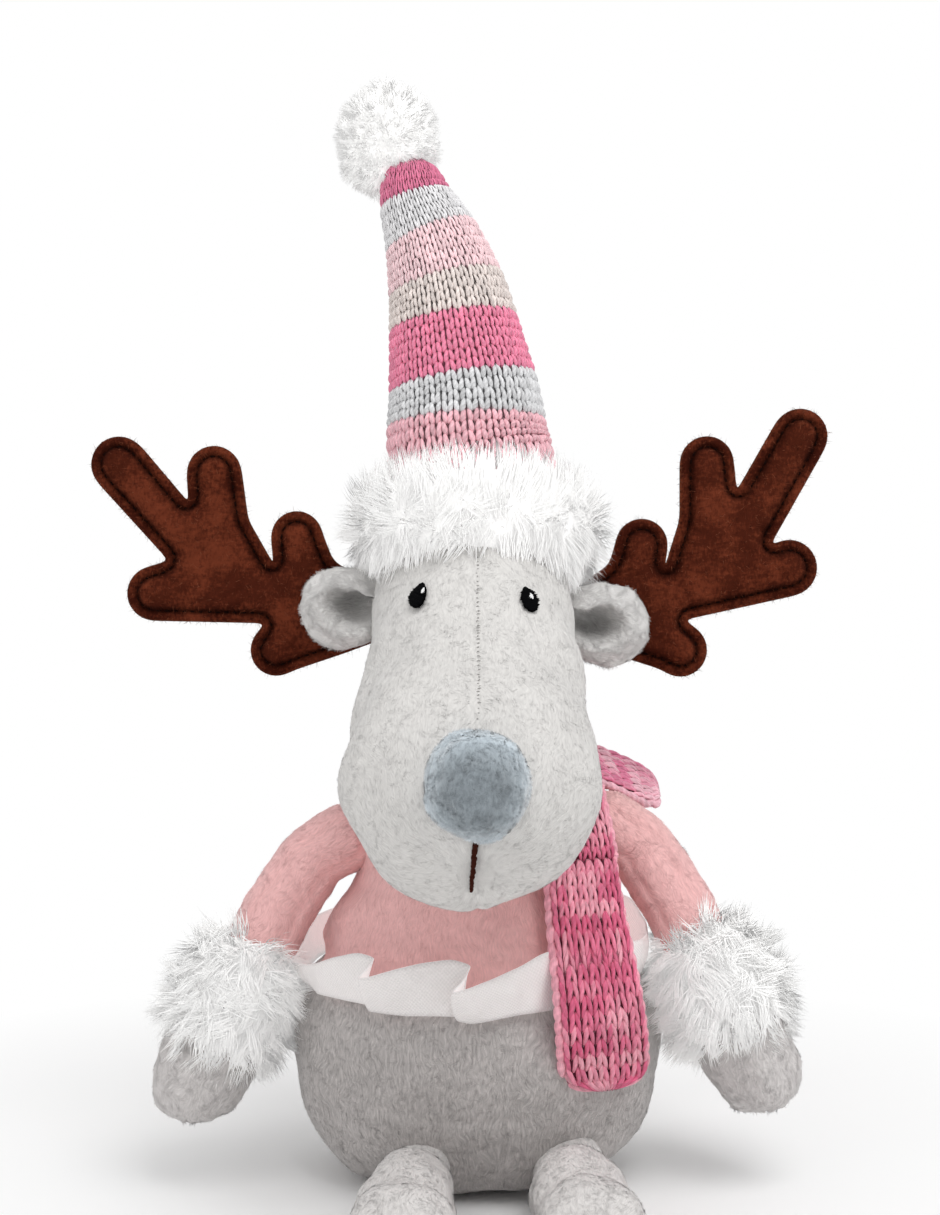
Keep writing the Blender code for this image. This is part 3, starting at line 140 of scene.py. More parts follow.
def ballRings(centre, radius, halfHeight, rows, around, pole=0.03):
    # z = h cos(angle), size = r sin(angle), with a small hole of the pole's angle at each end
    angle = np.linspace(pole, math.pi - pole, rows)
    sizes = radius * np.sin(angle)
    return ovalRings(centre + upward * (halfHeight * np.cos(angle))[:, None], leftward, backward, sizes,
                     sizes, around)


def pathTube(centres, radii, around, hint=backward):
    # rings square to the path: c + r (cos a side + sin a rise)
    along = unit(np.gradient(centres, axis=0))
    side = unit(np.cross(hint, along))
    return ovalRings(centres, side, np.cross(along, side), radii, radii, around)


def swollen(grid, amount, size, seed):
    # moved along the normals by amount times smooth noise
    return grid + gridNormals(grid) * (amount * ripple(grid, size, seed))[..., None]


def resampled(line, step, closed=False):
    # points at even steps of length along a polyline
    if closed:
        line = np.concatenate([line, line[:1]])
    length = lengthAlong(line)
    count = max(int(round(length[-1] / step)), 2)
    at = np.linspace(0, length[-1], count + 1)[:-1] if closed else np.linspace(0, length[-1], count + 1)
    return np.stack([np.interp(at, length, line[:, k]) for k in range(line.shape[1])], axis=1)


def ringPatch(grid, closed=True):
    # quads between neighbouring rings, and a fan to the middle of each end ring; a loop's last ring is its
    # first
    if not closed:
        grid = grid[:-1]
    rows, cols = grid.shape[:2]
    index = np.arange(rows * cols).reshape(rows, cols)
    rings = index if closed else np.concatenate([index, index[:1]])
    after = np.roll(rings, -1, axis=1)
    quads = np.stack([rings[:-1], after[:-1], after[1:], rings[1:]], axis=2).reshape(-1, 4)
    points = grid.reshape(-1, 3)
    tris = np.zeros((0, 3), int)
    if closed:
        points = np.concatenate([points, grid[0].mean(axis=0)[None], grid[-1].mean(axis=0)[None]])
        low = np.full(cols, rows * cols)
        tris = np.concatenate([np.stack([low, after[0], index[0]], axis=1),
                               np.stack([low + 1, index[-1], after[-1]], axis=1)])
    return facedOut({"points": points, "quads": quads, "tris": tris})


def facedOut(patch):
    # turns every face round when the signed volume is negative
    p, q, t = patch["points"], patch["quads"], patch["tris"]
    p = p - p.mean(axis=0)
    sides = [q[:, (0, 1, 2)], q[:, (0, 2, 3)], t]
    volume = sum((p[f[:, 0]] * np.cross(p[f[:, 1]], p[f[:, 2]])).sum() for f in sides)
    if volume < 0:
        patch["quads"], patch["tris"] = q[:, ::-1], t[:, ::-1]
    return patch


def marked(patch, tint=0.5, rise=0.0):
    # gives every point the same tint and rise, and leaves its normal alone
    count = len(patch["points"])
    return dict(patch, tint=np.full(count, tint), rise=np.full(count, rise), facing=np.zeros((count, 3)))


def napPlaces(grid):
    # how far each ring lies along the form and each column round it: sums of the mean and of the widest steps
    along = np.linalg.norm(np.diff(grid, axis=0, prepend=grid[:1]), axis=2).mean(axis=1).cumsum()
    around = np.linalg.norm(np.roll(grid, -1, axis=1) - grid, axis=2).max(axis=0)
    return along, np.concatenate([[0], around.cumsum()])


def clothOf(grid):
    # a closed skin that knows how far each point lies along and round the form, for the nap
    # rise 0.5: the skin under the pile takes half the painted root shade
    patch = marked(ringPatch(grid), 0.5, 0.5)
    along, around = napPlaces(grid)
    nap = np.stack(np.broadcast_arrays(along[:, None], around[None, :-1], 0.0), axis=2).reshape(-1, 3)
    patch["nap"] = np.concatenate([nap, nap[:1], nap[-1:]])
    return patch


def joined(patches):
    # one patch from several, with the point numbers moved on
    shift, whole = 0, {key: [] for key in patches[0] if all(key in patch for patch in patches)}
    for patch in patches:
        moved = dict(patch, quads=patch["quads"] + shift, tris=patch["tris"] + shift)
        shift += len(patch["points"])
        for key in whole:
            whole[key].append(moved[key])
    return {key: np.concatenate(values) for key, values in whole.items()}


def meshOf(name, patch):
    # points, corners and face starts straight from the arrays
    mesh = bpy.data.meshes.new(name)
    quads, tris = patch["quads"], patch["tris"]
    corners = np.concatenate([quads.ravel(), tris.ravel()]).astype(np.int32)
    starts = np.concatenate([np.arange(len(quads)) * 4, len(quads) * 4 + np.arange(len(tris)) * 3])
    mesh.vertices.add(len(patch["points"]))
    mesh.vertices.foreach_set("co", patch["points"].astype(np.float32).ravel())
    mesh.loops.add(len(corners))
    mesh.loops.foreach_set("vertex_index", corners)
    mesh.polygons.add(len(starts))
    mesh.polygons.foreach_set("loop_start", starts.astype(np.int32))
    mesh.polygons.foreach_set("use_smooth", np.ones(len(starts), bool))
    for key, kind, field in (("tint", "FLOAT", "value"), ("rise", "FLOAT", "value"),
                             ("yarn", "FLOAT_VECTOR", "vector"),
                             ("dyeAndShade", "FLOAT_VECTOR", "vector"), ("nap", "FLOAT_VECTOR", "vector")):
        if key in patch:
            layer = mesh.attributes.new(key, kind, "POINT")
            layer.data.foreach_set(field, patch[key].astype(np.float32).ravel())
    mesh.update(calc_edges=True)
    mesh.validate()
    if "facing" in patch:
        # pile is lit mostly as the cloth under it: its own normal plus the cloth's
        normals = np.zeros(len(mesh.vertices) * 3, np.float32)
        mesh.vertices.foreach_get("normal", normals)
        mesh.normals_split_custom_set_from_vertices(unit(normals.reshape(-1, 3) + patch["facing"]))
    return mesh


def addPiece(name, patch, material, body, nodes=()):
    # one object at the origin, riding on its body
    made = bpy.data.objects.new(name, meshOf(name, patch))
    bpy.context.scene.collection.objects.link(made)
    made.data.materials.append(material)
    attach(made, body)
    if nodes:
        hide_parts(*nodes)
    return made


def scatter(grid, count, rng, wanted=None):
    # places spread by area: (1-s)(1-t) a + s (1-t) b + s t c + (1-s) t d in a random quad
    a, b = grid[:-1], np.roll(grid, -1, axis=1)[:-1]
    c, d = np.roll(grid, -1, axis=1)[1:], grid[1:]
    area = np.linalg.norm(np.cross(c - a, d - b), axis=2)
    if wanted is not None:
        area = area * wanted[:-1]
    pick = rng.choice(area.size, count, p=(area / area.sum()).ravel())
    i, j = np.divmod(pick, area.shape[1])
    s, t = rng.random((2, count, 1))
    after = (j + 1) % grid.shape[1]

    def between(field):
        return ((1 - s) * (1 - t) * field[i, j] + s * (1 - t) * field[i, after]
                + s * t * field[i + 1, after] + (1 - s) * t * field[i + 1, j])
    length, width = napPlaces(grid)
    nap = np.stack([length[i] + t[:, 0] * (length[i + 1] - length[i]),
                    width[j] + s[:, 0] * (width[j + 1] - width[j]), 0 * length[i]], axis=1)
    along = unit(between(unit(np.gradient(grid, axis=0))))
    return between(grid), unit(between(gridNormals(grid))), along, nap


def tubeQuads(levels, sides):
    # quads between neighbouring rings of a thin tube, with each corner and the one after it
    corner = np.arange(sides)
    after = (corner + 1) % sides
    low = (np.arange(levels - 1) * sides)[:, None]
    quads = np.stack([low + corner, low + after, low + sides + after, low + sides + corner], axis=2)
    return quads.reshape(-1, 4), corner, after


def copies(points, quads, tris):
    # the same faces for every row of points, with the point numbers moved on
    count, each = points.shape[:2]
    step = (np.arange(count) * each)[:, None, None]
    return {"points": points.reshape(-1, 3), "quads": (quads[None] + step).reshape(-1, 4),
            "tris": (tris[None] + step).reshape(-1, 3)}


def strands(root, middle, tip, width, levels, tint, facing, weight):
    # (1-t)^2 root + 2 t (1-t) middle + t^2 tip, three-sided with a low ridge up, width (1-t)^0.7
    count, each = len(root), levels * 3 + 1
    t = (np.arange(levels) / levels)[None, :, None]
    a, b, c = root[:, None], middle[:, None], tip[:, None]
    line = (1 - t) ** 2 * a + 2 * t * (1 - t) * b + t ** 2 * c
    ahead = unit((1 - t) * (b - a) + t * (c - b))
    sideA = unit(np.cross(ahead, facing[:, None] + (0.001, 0.002, 0)))
    sideB = np.cross(ahead, sideA)
    angle = (np.arange(3) * turn / 3 - math.pi / 2)[None, None, :, None]
    reach = (np.broadcast_to(width, (count,))[:, None, None] * (1 - t) ** 0.7)[..., None]
    section = np.cos(angle) * sideA[:, :, None] + 0.22 * np.sin(angle) * sideB[:, :, None]
    rings = line[:, :, None] + reach * section
    points = np.concatenate([rings.reshape(count, levels * 3, 3), c], axis=1)
    quads, corner, after = tubeQuads(levels, 3)
    top = (levels - 1) * 3
    tris = np.concatenate([[[0, 2, 1]], np.stack([top + corner, top + after, np.full(3, top + 3)], axis=1)])
    # rise runs from 0 at the root to 1 at the tip; the pile material paints shade towards the root by it
    rise = np.append(np.repeat(np.arange(levels) / levels, 3), 1.0)
    return dict(copies(points, quads, tris), tint=np.repeat(np.broadcast_to(tint, (count,)), each),
                rise=np.tile(rise, count), facing=np.repeat(facing * weight, each, axis=0))


# how much of the cloth's own normal a tuft or a strand takes
tuftFacing, furFacing = 3.0, 7.0


def pile(grid, nap, seed, downTo=None):
    # short pile: each tuft leans along the form, swayed by smooth noise, so that its tips gather
    rng = np.random.default_rng(seed)
    place, normal, along, where = scatter(grid, nap["count"], rng)
    count = len(place)
    sway = nap["sway"] * ripple(place, nap["clump"], seed + 1) + rng.normal(0, 0.30, count)
    lay = along * np.cos(sway)[:, None] + np.cross(normal, along) * np.sin(sway)[:, None]
    gather = ripple(place, nap["clump"] * 0.6, seed + 2)
    height = nap["height"] * (1.0 + 0.12 * gather + rng.normal(0, 0.12, count))[:, None]
    height = np.maximum(height, nap["height"] * 0.25)
    length = nap["length"] * (0.85 + 0.5 * rng.random(count))[:, None]
    points = [place - normal * nap["width"] * 0.6, place + normal * height * 0.9 + lay * length * 0.35,
              place + normal * height + lay * length]
    if downTo is not None:
        points = [aboveFloor(each, downTo) for each in points]
    made = strands(*points, nap["width"], 1, 0.5 + 0.14 * gather + rng.normal(0, 0.22, count), normal,
                   tuftFacing)
    made["nap"] = np.repeat(where, 4, axis=0)
    return made


def plushOf(grid, nap, seed, downTo=None):
    # a skin with its pile
    return joined([clothOf(grid), pile(grid, nap, seed, downTo)])


def fur(grid, coat, seed, lay=None, wanted=None):
    # long fur: a strand ends between its own end and the end of the nearest lock
    rng = np.random.default_rng(seed)
    place, normal, *_ = scatter(grid, coat["count"], rng, wanted)
    lockPlace, lockNormal, *_ = scatter(grid, coat["locks"], rng, wanted)
    lock = ((place[:, None] - lockPlace[None]) ** 2).sum(axis=2).argmin(axis=1)
    sway = rng.normal(0, coat["spread"], lockNormal.shape)
    lockHeading = unit(lockNormal * coat["lift"] + sway + (lay(lockPlace) if lay else 0))
    lockTip = lockPlace + lockHeading * (coat["length"] * rng.uniform(0.75, 1.15, (coat["locks"], 1)))
    heading = unit(normal * coat["lift"] + sway[lock] * 0.7 + rng.normal(0, coat["spread"] * 0.35,
                                                                         normal.shape)
                   + (lay(place) if lay else 0))
    # none heads into the form
    inward = (heading * normal).sum(axis=1, keepdims=True)
    heading = unit(heading + normal * np.maximum(0.16 - inward, 0))
    length = coat["length"] * rng.uniform(coat["least"], 1.1, (len(place), 1))
    pull = rng.uniform(coat["pull"] * 0.6, coat["pull"], (len(place), 1))
    tip = (place + heading * length) * (1 - pull) + lockTip[lock] * pull
    middle = place + unit(normal * 0.60 + heading) * length * 0.5
    middle = middle + rng.normal(0, 1, middle.shape) * coat["length"] * 0.03
    tint = np.clip(0.5 + rng.normal(0, 0.16, len(place)) + (rng.random(coat["locks"]) - 0.5)[lock] * 0.3, 0,
                   1)
    return strands(place - normal * coat["width"], middle, tip, coat["width"], coat["levels"], tint, normal,
                   furFacing)


def spindles(start, end, lift, side, halfWidth, halfHeight, stations, sides, tint, dyeAndShade):
    # yarn lobes: from start to end, raised by lift sin(pi t)^0.8, as thick as sin(pi t^0.8)^0.75
    count, each = len(start), stations * sides + 2
    share, angle = np.arange(1, stations + 1) / (stations + 1), np.arange(sides) * turn / sides
    t, spin = share[None, :, None], angle[None, None, :, None]
    along = unit(end - start)
    up = unit(np.cross(along, side))
    across = np.cross(up, along)
    up = np.where(((up * lift).sum(axis=1) < 0)[:, None], -up, up)
    line = start[:, None] * (1 - t) + end[:, None] * t + lift[:, None] * np.sin(math.pi * t) ** 0.8
    size = np.sin(math.pi * t ** 0.8) ** 0.75
    wide = (across * halfWidth[:, None])[:, None, None] * np.cos(spin)
    high = (up * halfHeight[:, None])[:, None, None] * np.sin(spin)
    rings = line[:, :, None] + size[:, :, None] * (wide + high)
    points = np.concatenate([rings.reshape(count, -1, 3), start[:, None], end[:, None]], axis=1)
    quads, corner, after = tubeQuads(stations, sides)
    last = (stations - 1) * sides
    tris = np.concatenate([np.stack([after, corner, np.full(sides, each - 2)], axis=1),
                           np.stack([last + corner, last + after, np.full(sides, each - 1)], axis=1)])
    # the first lobe tells which way round the faces go
    ring = points[0] - points[0, 0]
    halves = np.concatenate([quads[:, (0, 1, 2)], quads[:, (0, 2, 3)]])
    if (ring[halves[:, 0]] * np.cross(ring[halves[:, 1]], ring[halves[:, 2]])).sum() < 0:
        quads, tris = quads[:, ::-1], tris[:, ::-1]
    yarn = np.stack([np.concatenate([np.repeat(share, sides), [0, 1]]),
                     np.cos(np.concatenate([np.tile(angle, stations), [0, 0]])),
                     np.sin(np.concatenate([np.tile(angle, stations), [0, 0]]))], axis=1)
    return dict(copies(points, quads, tris), tint=np.repeat(tint, each), yarn=np.tile(yarn, (count, 1)),
                dyeAndShade=np.repeat(dyeAndShade, each, axis=0))


def threads(start, end, lift, side, halfWidth, halfHeight, stations, sides):
    # plain threads: the same lobes without tint, yarn or dye
    count = len(start)
    patch = spindles(start, end, lift, side, halfWidth, halfHeight, stations, sides, np.full(count, 0.5),
                     np.full((count, 3), 0.5))
    return {key: patch[key] for key in ("points", "quads", "tris")}


def knitLobes(startUV, endUV, surface, pitch, dyeAndShade, tint, lift, seed, stations=4, slim=1.0):
    # leaning yarn lobes between two places of a surface, raised out of it: half width 0.225 of the pitch
    start, out, _ = surface(startUV)
    end = surface(endUV)[0]
    rng = np.random.default_rng(seed)
    side = unit(np.cross(out, unit(end - start)))
    wide = pitch * 0.225 * slim * rng.uniform(0.92, 1.10, len(start))
    return spindles(start, end, out * (lift * rng.uniform(0.85, 1.15, len(start)))[:, None], side, wide,
                    wide * 0.85, stations, 6, tint, dyeAndShade)


def knitBase(patch, dyeAndShade, tint):
    # the cloth behind the lobes, given a darkened colour and a low tint: painted shade in the gaps between
    # stitches
    base = marked(patch, tint, 0.0)
    count = len(base["points"])
    return dict(base, yarn=np.tile((0.5, 0.0, 0.0), (count, 1)), dyeAndShade=np.broadcast_to(dyeAndShade, (count, 3)))


# ---- materials

def newGroup(name, inputs):
    # a node group with these defaults in, four numbers for a colour, and a colour and a height out
    group = bpy.data.node_groups.new(name, "ShaderNodeTree")
    for label, value in inputs.items():
        kind = "NodeSocketColor" if isinstance(value, tuple) else "NodeSocketFloat"
        group.interface.new_socket(label, in_out="INPUT", socket_type=kind).default_value = value
    for label, kind in (("Colour", "NodeSocketColor"), ("Height", "NodeSocketFloat")):
        group.interface.new_socket(label, in_out="OUTPUT", socket_type=kind)
    return group, group.nodes.new("NodeGroupInput").outputs, group.nodes.new("NodeGroupOutput").inputs


def addNode(tree, kind, links=None, **settings):
    # a node with its settings, and its inputs either linked or set
    node = tree.nodes.new(kind)
    for key, value in settings.items():
        setattr(node, key, value)
    for key, value in (links or {}).items():
        if isinstance(value, bpy.types.NodeSocket):
            tree.links.new(value, node.inputs[key])
        else:
            node.inputs[key].default_value = value
    return node


def sums(tree, operation, a, b=None, c=None, clamp=False):
    # one step of arithmetic on sockets or numbers
    links = {k: v for k, v in enumerate((a, b, c)) if v is not None}
    return addNode(tree, "ShaderNodeMath", links, operation=operation, use_clamp=clamp).outputs[0]


def timesPlus(tree, a, b, c, clamp=False):
    # a b + c
    return sums(tree, "MULTIPLY_ADD", a, b, c, clamp)


def centred(tree, value):
    # value - 0.5
    return sums(tree, "SUBTRACT", value, 0.5)


def shaded(tree, colour, level):
    # the colour times one level for red, green and blue
    grey = addNode(tree, "ShaderNodeCombineColor", {0: level, 1: level, 2: level})
    return mixed(tree, 1.0, colour, grey.outputs[0], "MULTIPLY")


def mixed(tree, factor, a, b, kind="MIX"):
    # a and b blended by the factor, or multiplied
    node = addNode(tree, "ShaderNodeMix", {0: factor, 6: a, 7: b}, data_type="RGBA", blend_type=kind)
    return node.outputs[2]


def noise(tree, vector, scale, detail=2.0, rough=0.5):
    # smooth noise from 0 to 1
    return addNode(tree, "ShaderNodeTexNoise", {"Vector": vector, "Scale": scale, "Detail": detail,
                                                "Roughness": rough}).outputs["Fac"]


def named(tree, name, output="Fac"):
    # an attribute of the piece's own points
    return addNode(tree, "ShaderNodeAttribute", attribute_name=name).outputs[output]


def buildPileGroup():
    # colour (1 + tufts tint + patches noise + streaks nap noise - (1 - root) (1 - rise)), noises from -0.5
    # to 0.5; the last term is painted shade, darker towards the roots of the pile
    group, ins, outs = newGroup("pileColour", {"Colour": (0.5, 0.5, 0.5, 1), "Root Shade": 0.7, "Tufts": 0.2,
                                               "Patches": 0.1, "Patch Scale": 60.0, "Streaks": 0.2})
    where = addNode(group, "ShaderNodeTexCoord").outputs["Object"]
    # the nap: noise drawn out along the form and made to wander by slower noise
    nap = addNode(group, "ShaderNodeSeparateXYZ", {0: named(group, "nap", "Vector")})
    slow = addNode(group, "ShaderNodeTexNoise", {"Vector": where, "Scale": 70.0, "Detail": 2.0})
    wander = addNode(group, "ShaderNodeSeparateXYZ", {0: slow.outputs["Color"]})
    places = [timesPlus(group, centred(group, wander.outputs[k]), 0.012, nap.outputs[k]) for k in (0, 1)]
    drawn = addNode(group, "ShaderNodeCombineXYZ", {0: sums(group, "MULTIPLY", places[0], 330.0),
                                                    1: sums(group, "MULTIPLY", places[1], 1250.0)})
    fine = noise(group, drawn.outputs[0], 1.0, 2.0, 0.6)
    level = timesPlus(group, centred(group, named(group, "tint")), ins["Tufts"], 1.0)
    level = timesPlus(group, centred(group, noise(group, where, ins["Patch Scale"], 3.0)), ins["Patches"],
                      level)
    # painted light and shade of the nap: the colour follows the bump's height, darker where it is low
    level = timesPlus(group, centred(group, fine), ins["Streaks"], level)
    # painted shade: darker towards the roots of the pile, by 1 - root where rise is 0
    level = timesPlus(group, sums(group, "SUBTRACT", 1.0, named(group, "rise")),
                      sums(group, "SUBTRACT", ins["Root Shade"], 1.0), level)
    group.links.new(shaded(group, ins["Colour"], level), outs["Colour"])
    group.links.new(fine, outs["Height"])
    return group


def buildYarnGroup():
    # plied yarn: cos(angle - turns u)^2 is the ply's height, and noise drawn out along u streaks its colour
    group, ins, outs = newGroup("yarnLook", {"Turns": 9.0, "Streaks": 0.4})
    along, cosine, sine = addNode(group, "ShaderNodeSeparateXYZ", {0: named(group, "yarn", "Vector")}).outputs
    spin = sums(group, "MULTIPLY", along, ins["Turns"])
    ply = sums(group, "ADD", sums(group, "MULTIPLY", cosine, sums(group, "COSINE", spin)),
               sums(group, "MULTIPLY", sine, sums(group, "SINE", spin)))
    height = sums(group, "MULTIPLY", ply, ply)
    flecks = noise(group, addNode(group, "ShaderNodeTexCoord").outputs["Object"], 700.0, 2.0)
    tint = named(group, "tint")
    drawn = addNode(group, "ShaderNodeCombineXYZ", {
        0: sums(group, "MULTIPLY", along, 1.2), 1: sums(group, "MULTIPLY", cosine, 2.2),
        2: timesPlus(group, tint, 61.0, sums(group, "MULTIPLY", sine, 2.2))})
    level = timesPlus(group, centred(group, noise(group, drawn.outputs[0], 2.2, 2.0)), ins["Streaks"], 0.86)
    # the ply's height also lightens the colour: painted shade in the grooves between plies
    for value, weight in ((height, 0.16), (centred(group, flecks), 0.35), (centred(group, tint), 0.30)):
        level = timesPlus(group, value, weight, level)
    group.links.new(shaded(group, named(group, "dyeAndShade", "Color"), level), outs["Colour"])
    group.links.new(height, outs["Height"])
    return group


def newMaterial(name, roughness, sheen=0.0, sheenRoughness=0.5, sheenTint=(1, 1, 1)):
    # a cloth's shader: roughness, weak gloss and sheen
    made = bpy.data.materials.new(name)
    made.use_nodes = True
    shader = made.node_tree.nodes["Principled BSDF"]
    shader.inputs["Roughness"].default_value = roughness
    shader.inputs["Specular IOR Level"].default_value = 0.25
    shader.inputs["Sheen Weight"].default_value = sheen
    shader.inputs["Sheen Roughness"].default_value = sheenRoughness
    shader.inputs["Sheen Tint"].default_value = (*sheenTint, 1)
    return made, made.node_tree, shader


def bumped(tree, shader, height, strength, distance):
    # a height as a bump of this strength and distance
    bump = addNode(tree, "ShaderNodeBump", {"Height": height, "Strength": strength, "Distance": distance})
    tree.links.new(bump.outputs[0], shader.inputs["Normal"])


def groupMaterial(name, group, roughness, sheen, bump, values):
    # a cloth with a shared group's colour and height, and its own values in the group
    made, tree, shader = newMaterial(name, roughness, *sheen)
    node = tree.nodes.new("ShaderNodeGroup")
    node.node_tree = group
    for key, value in values.items():
        node.inputs[key].default_value = value
    tree.links.new(node.outputs["Colour"], shader.inputs["Base Color"])
    bumped(tree, shader, node.outputs["Height"], *bump)
    return made


def pileMaterial(name, finish, root=0.97, tufts=0.12, patches=0.12, scale=60.0, sheen=0.25, streaks=0.5):
    # plush in one of the finishes, with root as the level of painted shade at the roots of its pile, 1 for
    # none
    return groupMaterial(name, pileGroup, 0.95, (sheen, 0.45), (0.45, 0.0006), {
        "Colour": (*finishes[finish], 1), "Root Shade": root, "Tufts": tufts, "Patches": patches,
        "Patch Scale": scale,
        "Streaks": streaks})


pileGroup = buildPileGroup()
yarnGroup = buildYarnGroup()
finishes = {
    "headGrey": (0.68, 0.665, 0.645), "bellyGrey": (0.465, 0.436, 0.425), "handGrey": (0.62, 0.59, 0.58),
    "legGrey": (0.70, 0.675, 0.66), "liningGrey": (0.70, 0.685, 0.67), "pink": (0.86, 0.50, 0.49),
    "furWhite": (0.95, 0.945, 0.935), "noseGrey": (0.255, 0.29, 0.315),
}
plushHead = pileMaterial("plushHead", "headGrey", root=0.96, tufts=0.16, patches=0.20)
plushBelly = pileMaterial("plushBelly", "bellyGrey", root=0.93, tufts=0.40, patches=0.30, streaks=1.2)
plushHand = pileMaterial("plushHand", "handGrey", root=0.93, tufts=0.30, streaks=0.8)
plushLeg = pileMaterial("plushLeg", "legGrey", root=0.95, tufts=0.14)
plushEar = pileMaterial("plushEar", "liningGrey", root=0.95, tufts=0.22)
plushPink = pileMaterial("plushPink", "pink", root=0.97, tufts=0.12, sheen=0.30)


def furMaterial(name, glow):
    # white fibres pass light on to one another; a weak glow stands for it
    made = pileMaterial(name, "furWhite", root=1.0, tufts=0.04, patches=0.02, sheen=0.0, streaks=0.03)
    shader = made.node_tree.nodes["Principled BSDF"]
    shader.inputs["Emission Color"].default_value = (1, 0.995, 0.99, 1)
    shader.inputs["Emission Strength"].default_value = glow
    return made


furWhite = furMaterial("furWhite", 0.22)
furDense = furMaterial("furDense", 0.30)
noseFelt = pileMaterial("noseFelt", "noseGrey", root=0.90, tufts=0.30, patches=0.60, scale=170.0,
                        sheen=1.0, streaks=0.5)
yarnKnit = groupMaterial("yarnKnit", yarnGroup, 0.85, (0.25, 0.4), (0.5, 0.0005),
                         {"Turns": 9.0, "Streaks": 0.55})


def threadMaterial(name, colour, roughness=0.6):
    # sewing thread: colour (0.7 + 0.6 noise)
    made, tree, shader = newMaterial(name, roughness)
    shader.inputs["Specular IOR Level"].default_value = 0.02
    where = addNode(tree, "ShaderNodeTexCoord").outputs["Object"]
    level = timesPlus(tree, noise(tree, where, 1500.0, 2.0), 0.6, 0.7)
    tree.links.new(shaded(tree, (*colour, 1), level), shader.inputs["Base Color"])
    bumped(tree, shader, noise(tree, where, 2500.0, 1.0), 0.4, 0.0002)
    return made


blackThread = threadMaterial("blackThread", (0.0025, 0.0025, 0.003), 0.9)
whiteThread = threadMaterial("whiteThread", (0.88, 0.88, 0.88))
brownThread = threadMaterial("brownThread", (0.040, 0.010, 0.006))
greyThread = threadMaterial("greyThread", (0.36, 0.35, 0.34))
darkThread = threadMaterial("darkThread", (0.012, 0.004, 0.003), 0.7)
print("materials ready")


# ---- body: seat and chest

bodyShape = {
    "height": 0.138, "width": 0.127, "depth": 0.113, "lean": 0.0085, "waist": 0.5145,
    # height share, width share, depth share, lean share
    "rows": [(0.000, 0.46, 0.46, 0.00), (0.020, 0.62, 0.62, 0.00), (0.072, 0.795, 0.79, 0.00),
             (0.160, 0.925, 0.925, 0.02), (0.262, 0.985, 0.985, 0.05), (0.362, 1.00, 1.00, 0.10),
             (0.440, 0.975, 0.975, 0.16), (0.490, 0.915, 0.92, 0.22), (0.5145, 0.845, 0.850, 0.26),
             (0.580, 0.815, 0.815, 0.34), (0.655, 0.755, 0.755, 0.44), (0.725, 0.660, 0.690, 0.54),
             (0.800, 0.630, 0.620, 0.66), (0.870, 0.600, 0.525, 0.78), (0.930, 0.500, 0.425, 0.88),
             (0.980, 0.395, 0.325, 0.97), (1.000, 0.310, 0.240, 1.00)],
    "seatRows": 90, "chestRows": 70, "around": 190, "overlap": 0.004, "off": 0.0003, "pileOff": 0.0004,
    # creases: place, reach sideways, reach upwards, depth
    "creases": [((0.0085, -0.048, 0.021), (0.0016, 0.0060), 0.0016),
                ((0.004, -0.052, 0.0305), (0.016, 0.0018), 0.0007),
                ((-0.030, -0.046, 0.033), (0.012, 0.0020), 0.0005)],
}
bellyNap = {"count": 26000, "width": 0.00013, "height": 0.00026, "length": 0.0022, "sway": 1.05,
            "clump": 0.0085}
chestNap = {"count": 12000, "width": 0.00011, "height": 0.00018, "length": 0.0022, "sway": 0.65,
            "clump": 0.0120}


def bodyRings(low, high, rows, around):
    # ellipses at each height, from the smoothed shares
    s = bodyShape
    at = low + (high - low) * np.linspace(0, 1, rows)
    width, depth, lean = smoothRows(s["rows"], at)
    centres = np.stack([0 * at, s["lean"] * lean, s["height"] * at], axis=1)
    return ovalRings(centres, leftward, backward, s["width"] / 2 * width, s["depth"] / 2 * depth, around)


def creased(grid, creases):
    # pressed in by depth exp(-(dx/a)^2 - (dz/b)^2) round each crease
    normals = gridNormals(grid)
    for place, (a, b), depth in creases:
        gap = grid - np.array(place)
        press = depth * np.exp(-(gap[..., 0] / a) ** 2 - (gap[..., 2] / b) ** 2) * (gap[..., 1] < 0.03)
        grid = grid - normals * press[..., None]
    return grid


def buildBody():
    # the seat with its creases, kept above the floor, and the chest from a little below the waist
    s = bodyShape
    seat = swollen(bodyRings(0.0, s["waist"], s["seatRows"], s["around"]), 0.0007, 0.030, 11)
    seat = swollen(aboveFloor(creased(seat, s["creases"]), 0.0), 0.00008, 0.0045, 12)
    addPiece("seatCover", plushOf(aboveFloor(seat, s["off"]), bellyNap, 13, s["pileOff"]), plushBelly,
             "torso",
             ("seat_cover", "body_filling", "pellet_bag"))
    chest = swollen(bodyRings(s["waist"] - s["overlap"], 1.0, s["chestRows"], s["around"]), 0.0008, 0.028, 14)
    addPiece("chestCover", plushOf(swollen(chest, 0.00010, 0.0050, 15), chestNap, 16), plushPink, "torso",
             ("chest_cover",))


buildBody()
print("body made")


# ---- head

